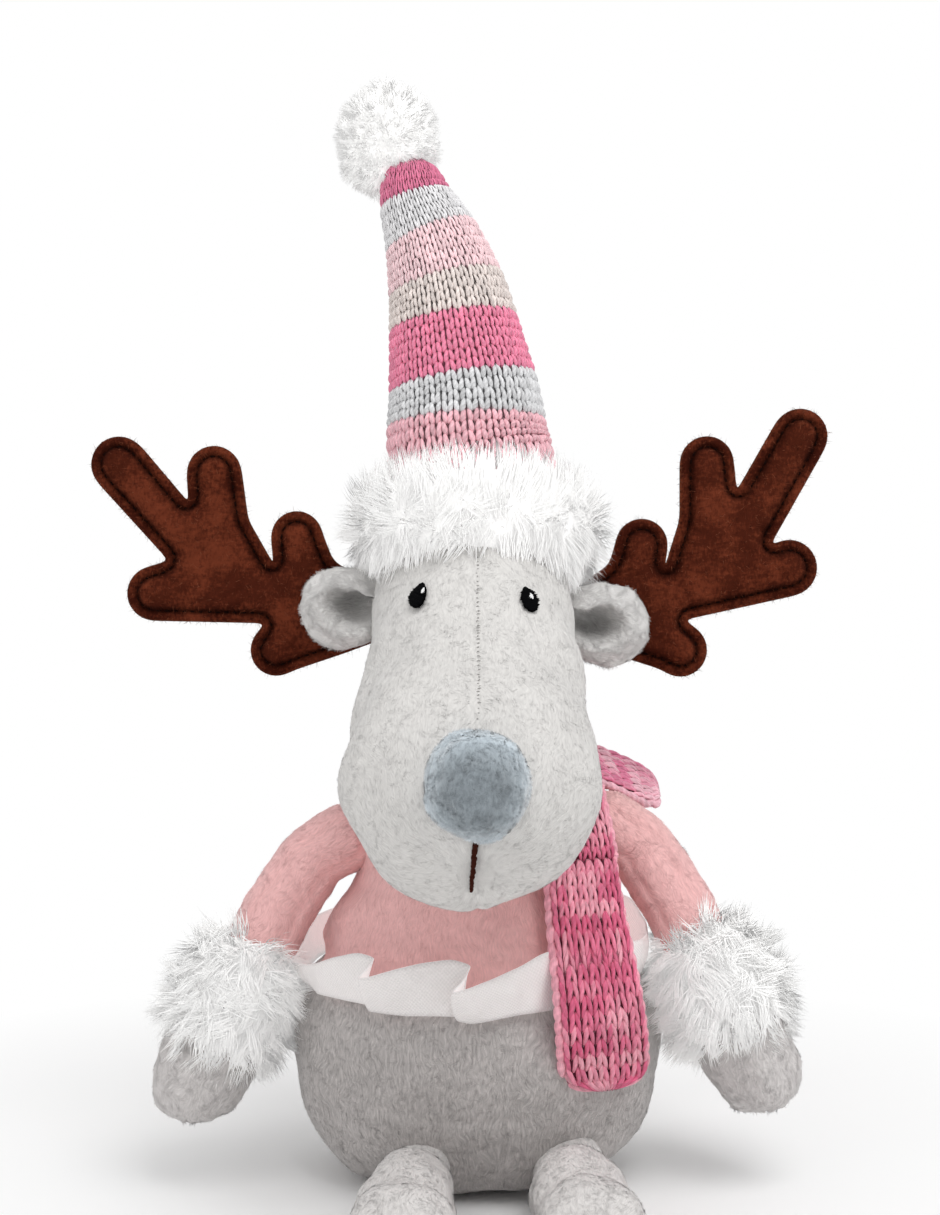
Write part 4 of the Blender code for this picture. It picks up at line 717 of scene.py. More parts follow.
headShape = {
    "crown": (0.0, 0.0055, 0.1975), "length": 0.171, "width": 0.081, "depth": 0.073, "dip": math.radians(37),
    "crownShare": 0.21, "dimple": (0.0375, -0.066, 0.136), "dimpleReach": 0.0035, "dimpleDepth": 0.0022,
    # length share, width share, depth share
    "rows": [(0.000, 0.10, 0.11), (0.020, 0.38, 0.42), (0.060, 0.61, 0.69), (0.125, 0.79, 0.90),
             (0.210, 0.865, 1.00), (0.320, 0.865, 0.985), (0.440, 0.870, 0.950), (0.560, 0.915, 0.950),
             (0.665, 0.970, 0.975), (0.760, 1.00, 1.00), (0.845, 0.965, 0.960), (0.910, 0.850, 0.850),
             (0.957, 0.660, 0.665), (0.986, 0.420, 0.425), (1.000, 0.150, 0.155)],
    "ringRows": 170, "around": 230, "seamDepth": 0.0007, "seamWidth": 0.0013,
}
headNap = {"count": 30000, "width": 0.00011, "height": 0.00022, "length": 0.0022, "sway": 0.95,
           "clump": 0.0100}
headAlong = np.array((0, -math.cos(headShape["dip"]), -math.sin(headShape["dip"])))
headTop = np.array((0, -math.sin(headShape["dip"]), math.cos(headShape["dip"])))


def headRings():
    # ellipses square to the long axis; angle 0 is the toy's left and a quarter turn is the top
    s = headShape
    at = (1 - np.cos(np.linspace(0, math.pi, s["ringRows"]))) / 2
    width, depth = smoothRows(s["rows"], at)
    centres = np.array(s["crown"]) + headAlong * (s["length"] * (at - s["crownShare"]))[:, None]
    grid = ovalRings(centres, leftward, headTop, s["width"] / 2 * width, s["depth"] / 2 * depth, s["around"])
    grid = swollen(grid, 0.0009, 0.034, 21)
    # the toy's left cheek is the slimmer one, and the chin is drawn up
    slim = 1 - 0.085 * np.clip(at / 0.75, 0.3, 1)[:, None] * (grid[..., 0] > 0)
    grid[..., 0] = grid[..., 0] * slim
    under = np.clip(-(grid - centres[:, None]) @ headTop / 0.036, 0, 1)
    grid = grid + headTop * (0.0030 * under * np.exp(-((at - 0.86) / 0.16) ** 2)[:, None])[..., None]
    seam = s["seamDepth"] * np.exp(-(grid[..., 0] / s["seamWidth"]) ** 2)
    grid = grid - gridNormals(grid) * seam[..., None]
    grid = swollen(grid, 0.00006, 0.0045, 22)
    for side in (rightSide, leftSide):
        gap = np.linalg.norm(grid - np.array(s["dimple"]) * (side, 1, 1), axis=2)
        press = s["dimpleDepth"] * np.exp(-(gap / s["dimpleReach"]) ** 2)
        grid = grid - gridNormals(grid) * press[..., None]
    return grid


headGrid = headRings()
headNormals = gridNormals(headGrid)


def buildHead():
    # the skin with its pile, over the filling
    addPiece("headCover", plushOf(headGrid, headNap, 23), plushHead, "head", ("head_cover", "head_filling"))


buildHead()
print("head made")


# ---- ears

earShape = {
    "root": {rightSide: (-0.0410, -0.0065, 0.1934), leftSide: (0.0400, -0.0065, 0.1884)},
    # dark: the middle of the painted shade in each ear's pit
    "dark": {rightSide: (-0.0425, -0.0040, 0.1955), leftSide: (0.0395, -0.0040, 0.1870)},
    "droop": {rightSide: math.radians(5), leftSide: math.radians(17)},
    "length": 0.0190, "rootRadius": 0.0100, "width": 0.0280, "half": 0.0022, "rim": 0.0050, "pit": 0.0082,
    "back": 0.0055, "fold": 0.0095, "set": 0.0010, "shadeReach": (0.0090, 0.0090, 0.0055), "shadeStrength": 2.8,
    # along, width
    "rows": [(-1, 0.62), (-0.60, 0.80), (-0.20, 0.92), (0.10, 0.98), (0.35, 1.0), (0.60, 0.92), (0.80, 0.72),
             (0.93, 0.46), (1, 0.16)],
}
earNap = {"count": 8000, "width": 0.00012, "height": 0.00024, "length": 0.0020, "sway": 1.0, "clump": 0.0060}


def earRings(side, rows=80, around=140):
    # a cushion with r = |(along, s)|: rim exp(-((r-0.74)/0.3)^2), pit exp(-(r/0.46)^2) drawn out towards the
    # root
    e = earShape
    droop = e["droop"][side]
    out = np.array((side * math.cos(droop), 0, -math.sin(droop)))
    up = np.array((math.sin(droop) * side, 0, math.cos(droop)))
    front = np.array((0, -1.0, 0))
    at = -np.cos(np.linspace(0.05, math.pi - 0.05, rows))
    width, = smoothRows(e["rows"], at)
    base = np.array(e["root"][side]) + (np.where(at > 0, e["length"], e["rootRadius"]) * at)[:, None] * out
    angle = ringAngles(around)
    s, at = np.cos(angle)[None], at[:, None]
    n = np.sign(np.sin(angle)) * np.abs(np.sin(angle)) ** 0.5 * np.sqrt(np.clip(1 - at ** 2, 0, 1)) ** 0.4
    r = np.hypot((at + 0.10) / np.where(at > -0.10, 1.0, 2.4), s / 0.98)
    rim, pit = np.exp(-((r - 0.74) / 0.30) ** 2), np.exp(-(r / 0.46) ** 2)
    level = n * np.where(n > 0, e["half"] + e["rim"] * rim - e["pit"] * pit, e["half"] + e["back"] * pit)
    # near the root the upper rim hangs forward and down over the pit
    over = np.clip((0.60 - at) / 1.0, 0, 1) * rim * np.clip(s, 0, 1) * np.clip(n, 0, 1)
    rise = e["width"] / 2 * width[:, None] * s - e["fold"] * over
    level = level + 0.0030 * over - e["set"]
    return base[:, None] + up * rise[..., None] + front * level[..., None]


def buildEar(side):
    # a stuffed ear, with painted shade in its pit
    e, name = earShape, sideNames[side]
    grid = swollen(earRings(side), 0.0002, 0.009, 31 + side)
    patch = plushOf(grid, earNap, 33 + side)
    # the pit holds less light, so shade is painted there: darker by exp(-distance^2), the distance counted in
    # the shade's own reach
    gap = (patch["points"] - e["dark"][side]) / e["shadeReach"]
    patch["tint"] -= e["shadeStrength"] * np.exp(-(gap ** 2).sum(axis=1))
    addPiece("ear" + name.title(), patch, plushEar, "ear_" + name,
             ("ear_back_" + name, "ear_lining_" + name))


# ---- eyes, nose and mouth

eyeShape = {
    # pixel of the middle, pixel of the glint
    rightSide: ((419.0, 596.9), (425.4, 595.6)), leftSide: ((528.8, 601.1), (528.7, 600.7)),
    "halfWidth": 0.0029, "halfHeight": 0.0039, "tilt": math.radians(24), "threads": 19,
    "glint": (0.00066, 0.00074),
}


def seenOnHead(px, py):
    # the head's skin at a pixel: the nearest point of the grid, then along its own plane
    place = np.array(cameraView["place"])
    seen = fromPhoto(px, py, headGrid[..., 1])
    gap = np.linalg.norm(seen - headGrid, axis=2) + np.where(headNormals[..., 1] < 0, 0, 1.0)
    i, j = np.unravel_index(gap.argmin(), gap.shape)
    point, normal = headGrid[i, j], headNormals[i, j]
    ray = unit(seen[i, j] - place)
    return place + ray * ((point - place) @ normal) / (ray @ normal), normal


def onSkin(centre, normal, flat, lift):
    # (x, z) seen from the front, laid on the skin's own plane, then bent back by distance^2 / (2 * 0.045)
    depth = -(flat[..., 0] * normal[0] + flat[..., 1] * normal[2]) / normal[1]
    offset = np.stack([flat[..., 0], depth, flat[..., 1]], axis=-1)
    bend = (offset ** 2).sum(axis=-1) / 0.090
    return centre + offset + normal * (lift - bend)[..., None]


def leaned(tilt):
    # the ways up and across, as (x, z), turned by the tilt
    return np.array((math.sin(tilt), math.cos(tilt))), np.array((math.cos(tilt), -math.sin(tilt)))


def satin(centre, normal, tilt, size, count, thick, lift, seed):
    # satin stitches: threads side by side across an oval, their ends a little uneven
    rng = np.random.default_rng(seed)
    up, across = leaned(tilt)
    v = np.linspace(-0.96, 0.96, count)[:, None]
    half = size[0] * np.sqrt(1 - v ** 2) * rng.uniform(0.86, 1.20, (count, 1))
    shift = up * rng.normal(0, size[1] * 0.04, (count, 1))
    level = np.full(count, lift)
    start = onSkin(centre, normal, up * v * size[1] - across * half + shift, level - thick)
    end = onSkin(centre, normal, up * v * size[1] + across * half - shift, level - thick)
    wide = np.full(count, thick)
    along = unit(end - start)
    facing = np.tile(normal, (count, 1))
    return threads(start, end, facing * (thick * 1.6), np.cross(facing, along), wide * 1.5, wide * 0.9, 7, 8)


def buildEye(side):
    # an oval bed under satin stitches, and a glint of white ones
    e, name = eyeShape, sideNames[side]
    (middle, shine), tilt = e[side], -side * e["tilt"]
    centre, normal = seenOnHead(*middle)
    rows, around = 21, 24
    v = np.cos(np.linspace(0.06, math.pi - 0.06, rows))[:, None]
    angle = ringAngles(around)
    up, across = leaned(tilt)
    wide = np.sqrt(1 - v ** 2) * np.cos(angle) * e["halfWidth"] * 0.84
    flat = (up * (v * e["halfHeight"]))[:, None] + across * wide[..., None]
    bed = onSkin(centre, normal, flat, 0.0006 + 0.0006 * np.sin(angle)[None] * np.sqrt(1 - v ** 2))
    stitches = satin(centre, normal, tilt, (e["halfWidth"], e["halfHeight"]), e["threads"], 0.00036, 0.0013,
                     41 + side)
    addPiece("eye" + name.title(), joined([ringPatch(bed), stitches]), blackThread, "head", ("eye_" + name,))
    spot, normal = seenOnHead(*shine)
    glint = satin(spot, normal, tilt, e["glint"], 4, 0.00024, 0.0022, 44 + side)
    addPiece("eyeGlint" + name.title(), glint, whiteThread, "head", ("eye_glint_" + name,))


def buildSeam():
    # small stitches across the seam down the middle of the face
    rows = headGrid[:, headShape["around"] // 4]
    line = resampled(rows[(rows[:, 2] < 0.2100) & (rows[:, 1] < -0.010) & (rows[:, 2] > 0.1600)], 0.0019)
    rng = np.random.default_rng(48)
    count = len(line)
    line = line + rng.normal(0, 0.00012, line.shape)
    across = np.tile((1.0, 0, 0), (count, 1))
    start, end = line - across * 0.00055, line + across * 0.00055 + rng.normal(0, 0.0002, line.shape)
    wide = np.full(count, 0.00017)
    patch = threads(start, end, np.tile(headTop * 0.0003, (count, 1)), np.tile(headAlong, (count, 1)), wide,
                    wide, 3, 6)
    addPiece("headSeamStitches", patch, greyThread, "head", ())


noseShape = {"radius": 0.0147, "wide": 1.01, "tall": 1.05, "lower": 0.0007, "rows": 60, "around": 90,
             "rimSheen": 3.6, "rimFrom": 0.5, "rimPower": 1.6}
noseNap = {"count": 11000, "width": 0.00016, "height": 0.0006, "length": 0.0011, "sway": 1.6, "clump": 0.0050}


def buildNose():
    # a felt ball, a little taller than wide, somewhat lower than its solid
    s, r = noseShape, noseShape["radius"]
    low, high = (np.array(v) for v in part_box("nose"))
    centre = (low + high) / 2 - (0, 0, s["lower"])
    grid = swollen(ballRings(centre, r * s["wide"], r * s["tall"], s["rows"], s["around"], 0.02), 0.00035,
                   0.012, 51)
    skin = clothOf(swollen(grid, 0.00012, 0.0018, 52))
    patch = joined([skin, pile(grid, noseNap, 53)])
    # painted sheen, paler towards its rim and more at the top than the bottom: tint + 3.6 ((distance from the
    # middle / radius - 0.5) / 0.5)^1.6
    away = np.hypot(patch["points"][:, 0] - centre[0], patch["points"][:, 2] - centre[2] + 0.0012) / r
    patch["tint"] += s["rimSheen"] * np.clip((away - s["rimFrom"]) / s["rimFrom"], 0, 1.1) ** s["rimPower"]
    addPiece("noseBall", patch, noseFelt, "head", ("nose",))


def buildMouth():
    # one thick thread down the front of the chin, pinched where the stitches cross it
    place = np.array([seenOnHead(px, py)[0] for px, py in zip(np.linspace(475.5, 471.0, 12),
                                                              np.linspace(841, 892, 12))])
    line = resampled(place + (0, -0.0006, 0), 0.0003)
    share = np.linspace(0, 1, len(line))
    pinch = sum(np.exp(-((share - at) / 0.022) ** 2) for at in (0.25, 0.47, 0.68, 0.88))
    wide = (0.00088 - 0.00030 * share) * np.sqrt(np.clip(share * 30, 0.2, 1) * np.clip((1 - share) * 12, 0.15,
                                                                                       1))
    tube = pathTube(line, wide * (1 - 0.35 * pinch), 12, (1, 0, 0))
    tube = swollen(tube, 0.00010, 0.0012, 57)
    addPiece("mouthThread", ringPatch(tube), brownThread, "head", ("mouth_thread",))


for side in (rightSide, leftSide):
    buildEar(side)
    buildEye(side)
buildNose()
buildMouth()
buildSeam()
print("face made")


# ---- antlers of felt

antlerShape = {
    "root": (0.03485, 0.0140, 0.1910), "unit": 0.100, "wall": 0.0014, "puff": 0.0034, "flange": 0.0037,
    rightSide: [(-0.010, 0.085), (0.155, 0.185), (0.283, 0.270, 0.092, 85), (0.365, 0.172), (0.455, 0.330),
                (0.575, 0.495, 0.097, 83), (0.665, 0.390), (0.910, 0.525, 0.100, 52), (0.735, 0.185),
                (0.785, 0.070, 0.098, -6), (0.395, -0.036), (0.355, -0.130, 0.093, -38), (0.110, -0.140),
                (-0.010, -0.095)],
    leftSide: [(-0.010, 0.085), (0.120, 0.170), (0.236, 0.242, 0.093, 88), (0.317, 0.160), (0.370, 0.330),
               (0.466, 0.530, 0.096, 88), (0.571, 0.431), (0.795, 0.625, 0.098, 61), (0.690, 0.240),
               (0.755, 0.160, 0.101, 8), (0.387, -0.024), (0.372, -0.130, 0.096, -44), (0.120, -0.140),
               (-0.010, -0.095)],
    "step": 0.0007, "inner": 0.00095, "stitch": 0.0021, "stitchGap": 0.0009, "fibres": 5200,
}


def antlerEdge(side):
    # round tine ends and straight sides, then smoothed: each pass moves a point halfway to its neighbours'
    # mean
    unitSize, points = antlerShape["unit"], []
    for row in antlerShape[side]:
        centre = np.array(row[:2]) * unitSize
        if len(row) == 2:
            points.append(centre[None])
            continue
        angle = math.radians(row[3]) + math.pi / 2 - math.pi * np.linspace(0, 1, 13)
        points.append(centre + row[2] * unitSize * np.stack([np.cos(angle), np.sin(angle)], axis=1))
    edge = resampled(np.concatenate(points), antlerShape["step"], closed=True)
    for _ in range(14):
        edge = edge * 0.5 + (np.roll(edge, 1, axis=0) + np.roll(edge, -1, axis=0)) * 0.25
    return edge


def edgeDistance(points, edge):
    # the shortest way from each point to the segments of the edge
    a, b = edge, np.roll(edge, -1, axis=0)
    ab = b - a
    t = np.clip(((points[:, None] - a) * ab).sum(axis=2) / (ab ** 2).sum(axis=1), 0, 1)
    return np.linalg.norm(points[:, None] - a - t[..., None] * ab, axis=2).min(axis=1)


def insideOf(points, edge):
    # odd number of crossings of the edge to the right of the point
    a, b = edge, np.roll(edge, -1, axis=0)
    x, y = points[:, :1], points[:, 1:]
    across = (a[:, 1] > y) != (b[:, 1] > y)
    height = np.where(b[:, 1] == a[:, 1], 1e-9, b[:, 1] - a[:, 1])
    return ((x < a[:, 0] + (y - a[:, 1]) / height * (b[:, 0] - a[:, 0])) & across).sum(axis=1) % 2 == 1


def buildAntler(side):
    # two felt halves: wall + bead along the flange - groove + puff (1 - exp(-past / 2.1 mm))
    s, name = antlerShape, sideNames[side]
    rng = np.random.default_rng(60 + side)
    edge = antlerEdge(side)
    if ((edge * np.roll(edge[:, ::-1], -1, axis=0) * (1, -1)).sum()) < 0:
        edge = edge[::-1]
    lowU, lowV = edge.min(axis=0)
    highU, highV = edge.max(axis=0)
    u, v = np.meshgrid(np.arange(lowU, highU, s["inner"]), np.arange(lowV, highV, s["inner"] * 0.866))
    u = u + (np.arange(len(v)) % 2)[:, None] * s["inner"] / 2
    cloud = np.stack([u.ravel(), v.ravel()], axis=1) + rng.normal(0, s["inner"] * 0.06, (u.size, 2))
    cloud = cloud[insideOf(cloud, edge)]
    cloud = cloud[edgeDistance(cloud, edge) > s["inner"] * 0.55]
    flat = np.concatenate([edge, cloud])
    edges = [(k, (k + 1) % len(edge)) for k in range(len(edge))]
    verts, _, faces, *_ = delaunay_2d_cdt([Vector(p) for p in flat], edges, [list(range(len(edge)))], 1, 1e-7)
    flat, faces = np.array([tuple(p) for p in verts]), np.array([tuple(f) for f in faces])
    away = edgeDistance(flat, edge)
    away[:len(edge)] = 0
    field = np.concatenate([flat, flat[:, :1] * 0], axis=1)
    past = np.clip(away - s["flange"], 0, None)
    height = s["wall"] * (0.35 + 0.65 * np.clip(away / 0.0007, 0, 1) ** 0.5)
    height = height + 0.0007 * np.sin(math.pi * np.clip(away / s["flange"], 0, 1)) ** 0.8
    height = height - 0.0009 * np.exp(-((away - s["flange"]) / 0.0007) ** 2)
    height = height + s["puff"] * (1 - np.exp(-past / 0.0021)) + 0.00025 * ripple(field, 0.006,
                                                                                  61 + side) * (past > 0)
    height = height + 0.00010 * ripple(field, 0.0016, 62)
    # tint: a painted highlight along the cut edge and painted shade in the groove inside the flange; rise: 0
    # by the flange to 1 in the stuffed middle, where the felt is painted lighter
    tint = 0.5 + 0.24 * np.exp(-(away / 0.0008) ** 2) - 0.42 * np.exp(-((away - s["flange"]
                                                                         - 0.0002) / 0.0009) ** 2)
    rise = np.clip(past / 0.004, 0, 1)
    place = np.array(s["root"]) * (side, 1, 1)
    seam = inset(edge, s["flange"] - 0.0001)
    for layer, facing in (("front", -1), ("back", 1)):
        outer = np.stack([place[0] + side * flat[:, 0], place[1] + facing * (height + 0.0002),
                          place[2] + flat[:, 1]], axis=1)
        inner = outer.copy()
        inner[:, 1] = place[1] + facing * 0.0002
        count = len(flat)
        e = np.arange(len(edge))
        after = (e + 1) % len(edge)
        wall = np.stack([e, after, after + count, e + count], axis=1)
        felt = facedOut({"points": np.concatenate([outer, inner]), "quads": wall,
                          "tris": np.concatenate([faces, faces[:, ::-1] + count]),
                          "tint": np.tile(tint, 2), "rise": np.tile(rise, 2),
                          "facing": np.zeros((count * 2, 3))})
        fibre = antlerFibres(faces, outer, facing, tint, rise, rng)
        nodes = (f"antler_{layer}_felt_{name}",) + ((f"antler_filling_{name}",) if layer == "front" else ())
        addPiece(f"antler{layer.title()}{name.title()}", joined([felt, fibre]), antlerFelt, "antler_" + name,
                 nodes)
        line = np.stack([place[0] + side * seam[:, 0], np.full(len(seam),
                                                               place[1] + facing * (s["wall"] - 0.0003)),
                         place[2] + seam[:, 1]], axis=1)
        dashes = stitchLine(line, s["stitch"], s["stitchGap"], 0.00034, (0, facing, 0))
        addPiece(f"antlerStitches{layer.title()}{name.title()}", dashes, darkThread, "antler_" + name, ())


def inset(edge, depth):
    # the edge moved in along its normals, keeping only the points that stay that far inside
    ahead = np.roll(edge, -3, axis=0) - np.roll(edge, 3, axis=0)
    normal = unit(np.stack([-ahead[:, 1], ahead[:, 0]], axis=1))
    moved = edge + normal * depth
    if insideOf(moved, edge).mean() < 0.5:
        moved = edge - normal * depth
    kept = moved[(edgeDistance(moved, edge) > depth * 0.97) & insideOf(moved, edge)]
    return kept


def stitchLine(line, length, gap, radius, lift):
    # dashes of thread along a closed line, each a lobe a little above the cloth
    even = resampled(line, (length + gap), closed=True)
    even = even[np.linalg.norm(np.roll(even, -1, axis=0) - even, axis=1) < (length + gap) * 1.5]
    ahead = unit(np.roll(even, -1, axis=0) - even)[:-1]
    start = even[:-1]
    end = start + ahead * length
    count = len(start)
    up = np.tile(np.array(lift, float), (count, 1))
    wide = np.full(count, radius)
    return threads(start, end, up * radius, np.cross(ahead, up), wide, wide, 4, 6)


def antlerFibres(faces, outer, facing, tint, rise, rng):
    # loose felt fibres: short curved hairs at random places of the face, lying nearly flat
    a, b, c = outer[faces[:, 0]], outer[faces[:, 1]], outer[faces[:, 2]]
    area = np.linalg.norm(np.cross(b - a, c - a), axis=1)
    pick = rng.choice(len(faces), antlerShape["fibres"], p=area / area.sum())
    share = rng.dirichlet((1, 1, 1), len(pick))

    def mix(values):
        # the corners' values by their shares
        return (values[faces[pick]] * (share if values.ndim == 1 else share[..., None])).sum(axis=1)
    place = mix(outer)
    angle = rng.uniform(0, turn, len(pick))
    reach = rng.uniform(0.0008, 0.0026, (len(pick), 1))
    heading = np.stack([np.cos(angle), np.zeros(len(pick)), np.sin(angle)], axis=1)
    up = np.array((0, facing, 0.0))
    stand = rng.uniform(0.05, 0.45, (len(pick), 1)) ** 1.5
    tip = place + heading * reach + up * reach * stand
    middle = place + heading * reach * 0.4 + up * reach * (stand + 0.15)
    # the fibres take the painted shade and highlight of the tint where they lie, and a random tone
    shade = np.clip(mix(tint) + rng.normal(0.05, 0.25, len(pick)), 0, 1)
    made = strands(place - up * 0.0001, middle, tip, 0.00007, 1, shade, np.tile(up, (len(place), 1)), 1.0)
    made["rise"] = np.repeat(mix(rise), 4)
    return made


def feltMaterial(name, dark, light, edgeHighlight):
    # matted felt: two browns mixed by stretched noise; painted shade: less of the light brown by the flange
    # than in the stuffed middle, and the tint darker in the groove; painted highlight: lighter at the cut
    # edge
    made, tree, shader = newMaterial(name, 0.92, 0.04, 0.35, light)
    shader.inputs["Specular IOR Level"].default_value = 0.05
    where = addNode(tree, "ShaderNodeTexCoord").outputs["Object"]

    def fibres(stretch, lean, *look):
        # noise stretched one way and leaned
        drawn = addNode(tree, "ShaderNodeMapping", {"Vector": where, "Scale": stretch,
                                                    "Rotation": (0, lean, 0)})
        return noise(tree, drawn.outputs[0], *look)
    both = timesPlus(tree, fibres((1.0, 0.3, 0.45), 0.6, 1100.0, 4.0, 0.65), 0.55,
                     sums(tree, "MULTIPLY", fibres((0.4, 0.3, 1.0), 0.5, 900.0, 3.0, 0.6), 0.45))
    patch = timesPlus(tree, centred(tree, noise(tree, where, 75.0, 3.0)), 2.6, 0.28)
    blendIn = timesPlus(tree, centred(tree, both), 3.6, patch, clamp=True)
    # painted shade: rise moves the mix towards the light brown in the stuffed middle, away from the flange
    fibreMixAndShade = timesPlus(tree, named(tree, "rise"), 0.22, blendIn, clamp=True)
    tint = named(tree, "tint")
    # the tint's painted shade in the groove and painted highlight at the edge
    toned = shaded(tree, mixed(tree, fibreMixAndShade, (*dark, 1), (*light, 1)), timesPlus(tree, centred(tree, tint), 1.6,
                                                                               1.0))
    # painted highlight at the cut edge, where the tint is above 0.62
    edge = sums(tree, "MULTIPLY", sums(tree, "SUBTRACT", tint, 0.62), 3.0, clamp=True)
    tree.links.new(mixed(tree, edge, toned, (*edgeHighlight, 1)), shader.inputs["Base Color"])
    bumped(tree, shader, both, 0.7, 0.0006)
    return made


# dark and light brown of the felt, then the colour of the painted highlight at the cut edge
antlerFelt = feltMaterial("antlerFelt", (0.040, 0.0065, 0.0028), (0.140, 0.030, 0.013), (0.25, 0.085, 0.045))
for side in (rightSide, leftSide):
    buildAntler(side)
print("antlers made")


# ---- fur band, hat and pom-pom

bandShape = {"centre": (0, 0.0075, 0.2210), "tilt": math.radians(-11), "reachSide": 0.0330,
             "reachDeep": 0.0345,
             "halfThick": 0.0068, "halfHigh": 0.0115, "around": 110, "rows": 33}
bandCoat = {"count": 11500, "locks": 520, "length": 0.0115, "spread": 0.36, "lift": 0.22, "pull": 0.46,
            "levels": 3,
            "least": 0.6, "width": 0.00026}


def torusRings(place, section, rows):
    # place(angle) carried round, with the section's angle from its inner side all the way round
    angle = math.pi + np.linspace(0, turn, rows)
    return np.stack([place + section(a) for a in angle])


def bandRings():
    # an oval section carried round an oval, then tilted
    b = bandShape
    around = ringAngles(b["around"])
    out = np.stack([np.cos(around), np.sin(around), 0 * around], axis=1)
    up = upward
    middle = out * (b["reachSide"], b["reachDeep"], 0)
    cosT, sinT = math.cos(b["tilt"]), math.sin(b["tilt"])
    tilt = np.array(((1, 0, 0), (0, cosT, -sinT), (0, sinT, cosT)))

    front = np.clip(-out[:, 1:2], 0, 1)

    def section(a):
        # deeper in front below, lower above
        high = b["halfHigh"] * (1.0 + (0.62 + 0.06 * front) * max(-math.sin(a), 0))
        return out * ((b["halfThick"] + 0.0010) * math.cos(a)) + up * (high * math.sin(a))
    grid = torusRings(middle, section, b["rows"])
    return np.array(b["centre"]) + grid @ tilt.T


def bandLay(place):
    # fur falls down below the middle of the band and stands up above it, and drops furthest at the front
    rise = (place[:, 2] - bandShape["centre"][2]) / bandShape["halfHigh"]
    front = np.clip(-place[:, 1] / 0.03, 0, 1)
    fall = np.clip(rise - 0.1, -1, 1) * (1.1 + 0.9 * front * (rise < 0))
    return np.stack([0 * rise, -0.10 + 0 * rise, fall], axis=1)


def buildBand():
    # a ring of cloth with long fur, densest on its outer side
    grid = bandRings()
    outside = np.linspace(0, 1, bandShape["rows"])
    wanted = (np.sin(math.pi * outside) ** 0.8 + 0.05)[:, None] * np.ones(bandShape["around"])
    coat = fur(grid, bandCoat, 71, bandLay, wanted)
    addPiece("hatFurBand", joined([marked(ringPatch(grid, closed=False), 0.4, 0.3), coat]), furWhite, "head",
             ("hat_fur_band",))


hatShape = {
    "pivot": (0, 0.0075, 0.2390), "radius": 0.0280, "height": 0.1128, "droop": -0.0233, "lean": 0.0080,
    # height, radius, droop, lean
    "rows": [(-0.10, 0.94, 0.00, 0.00), (-0.05, 0.985, 0.00, 0.00), (0.000, 1.00, 0.02, 0.00),
             (0.066, 0.993, 0.10, 0.05),
             (0.229, 0.929, 0.167, 0.21), (0.395, 0.829, 0.288, 0.38), (0.561, 0.729, 0.42, 0.55),
             (0.725, 0.596, 0.644, 0.72), (0.892, 0.414, 0.948, 0.90), (0.962, 0.32, 0.985, 0.97),
             (0.990, 0.20, 0.995, 0.99), (1.00, 0.07, 1.00, 1.00)],
    "columns": 40, "rowHeight": 0.0035, "lift": 0.0012,
    # colours from this height at the front upwards
    "stripes": [(0.0, (0.94, 0.54, 0.60)), (0.2608, (0.75, 0.75, 0.76)), (0.2733, (0.93, 0.29, 0.44)),
                (0.2958, (0.84, 0.75, 0.71)), (0.3076, (0.99, 0.72, 0.75)), (0.3250, (0.88, 0.87, 0.88)),
                (0.3368, (0.82, 0.23, 0.38))],
}


def hatFrame(share):
    # the middle line's place, size and square axes at a share of the height
    h = hatShape
    share = np.asarray(share, float)

    def line(at):
        size, droop, lean = smoothRows(h["rows"], at)
        return np.array(h["pivot"]) + np.stack([h["droop"] * droop, h["lean"] * lean, h["height"] * at],
                                               axis=-1), size
    centre, size = line(share)
    along = unit(line(np.minimum(share + 0.01, 1.0))[0] - line(np.maximum(share - 0.01, -0.1))[0])
    side = unit(leftward - along * along[..., :1])
    return centre, h["radius"] * size, side, np.cross(along, side), along


def hatPlace(angle, share, out=0.0):
    # middle + (radius + out) (cos(angle) side + sin(angle) deep)
    centre, size, side, deep, along = hatFrame(share)
    way = side * np.cos(angle)[..., None] + deep * np.sin(angle)[..., None]
    return centre + way * (size + out)[..., None], way, along


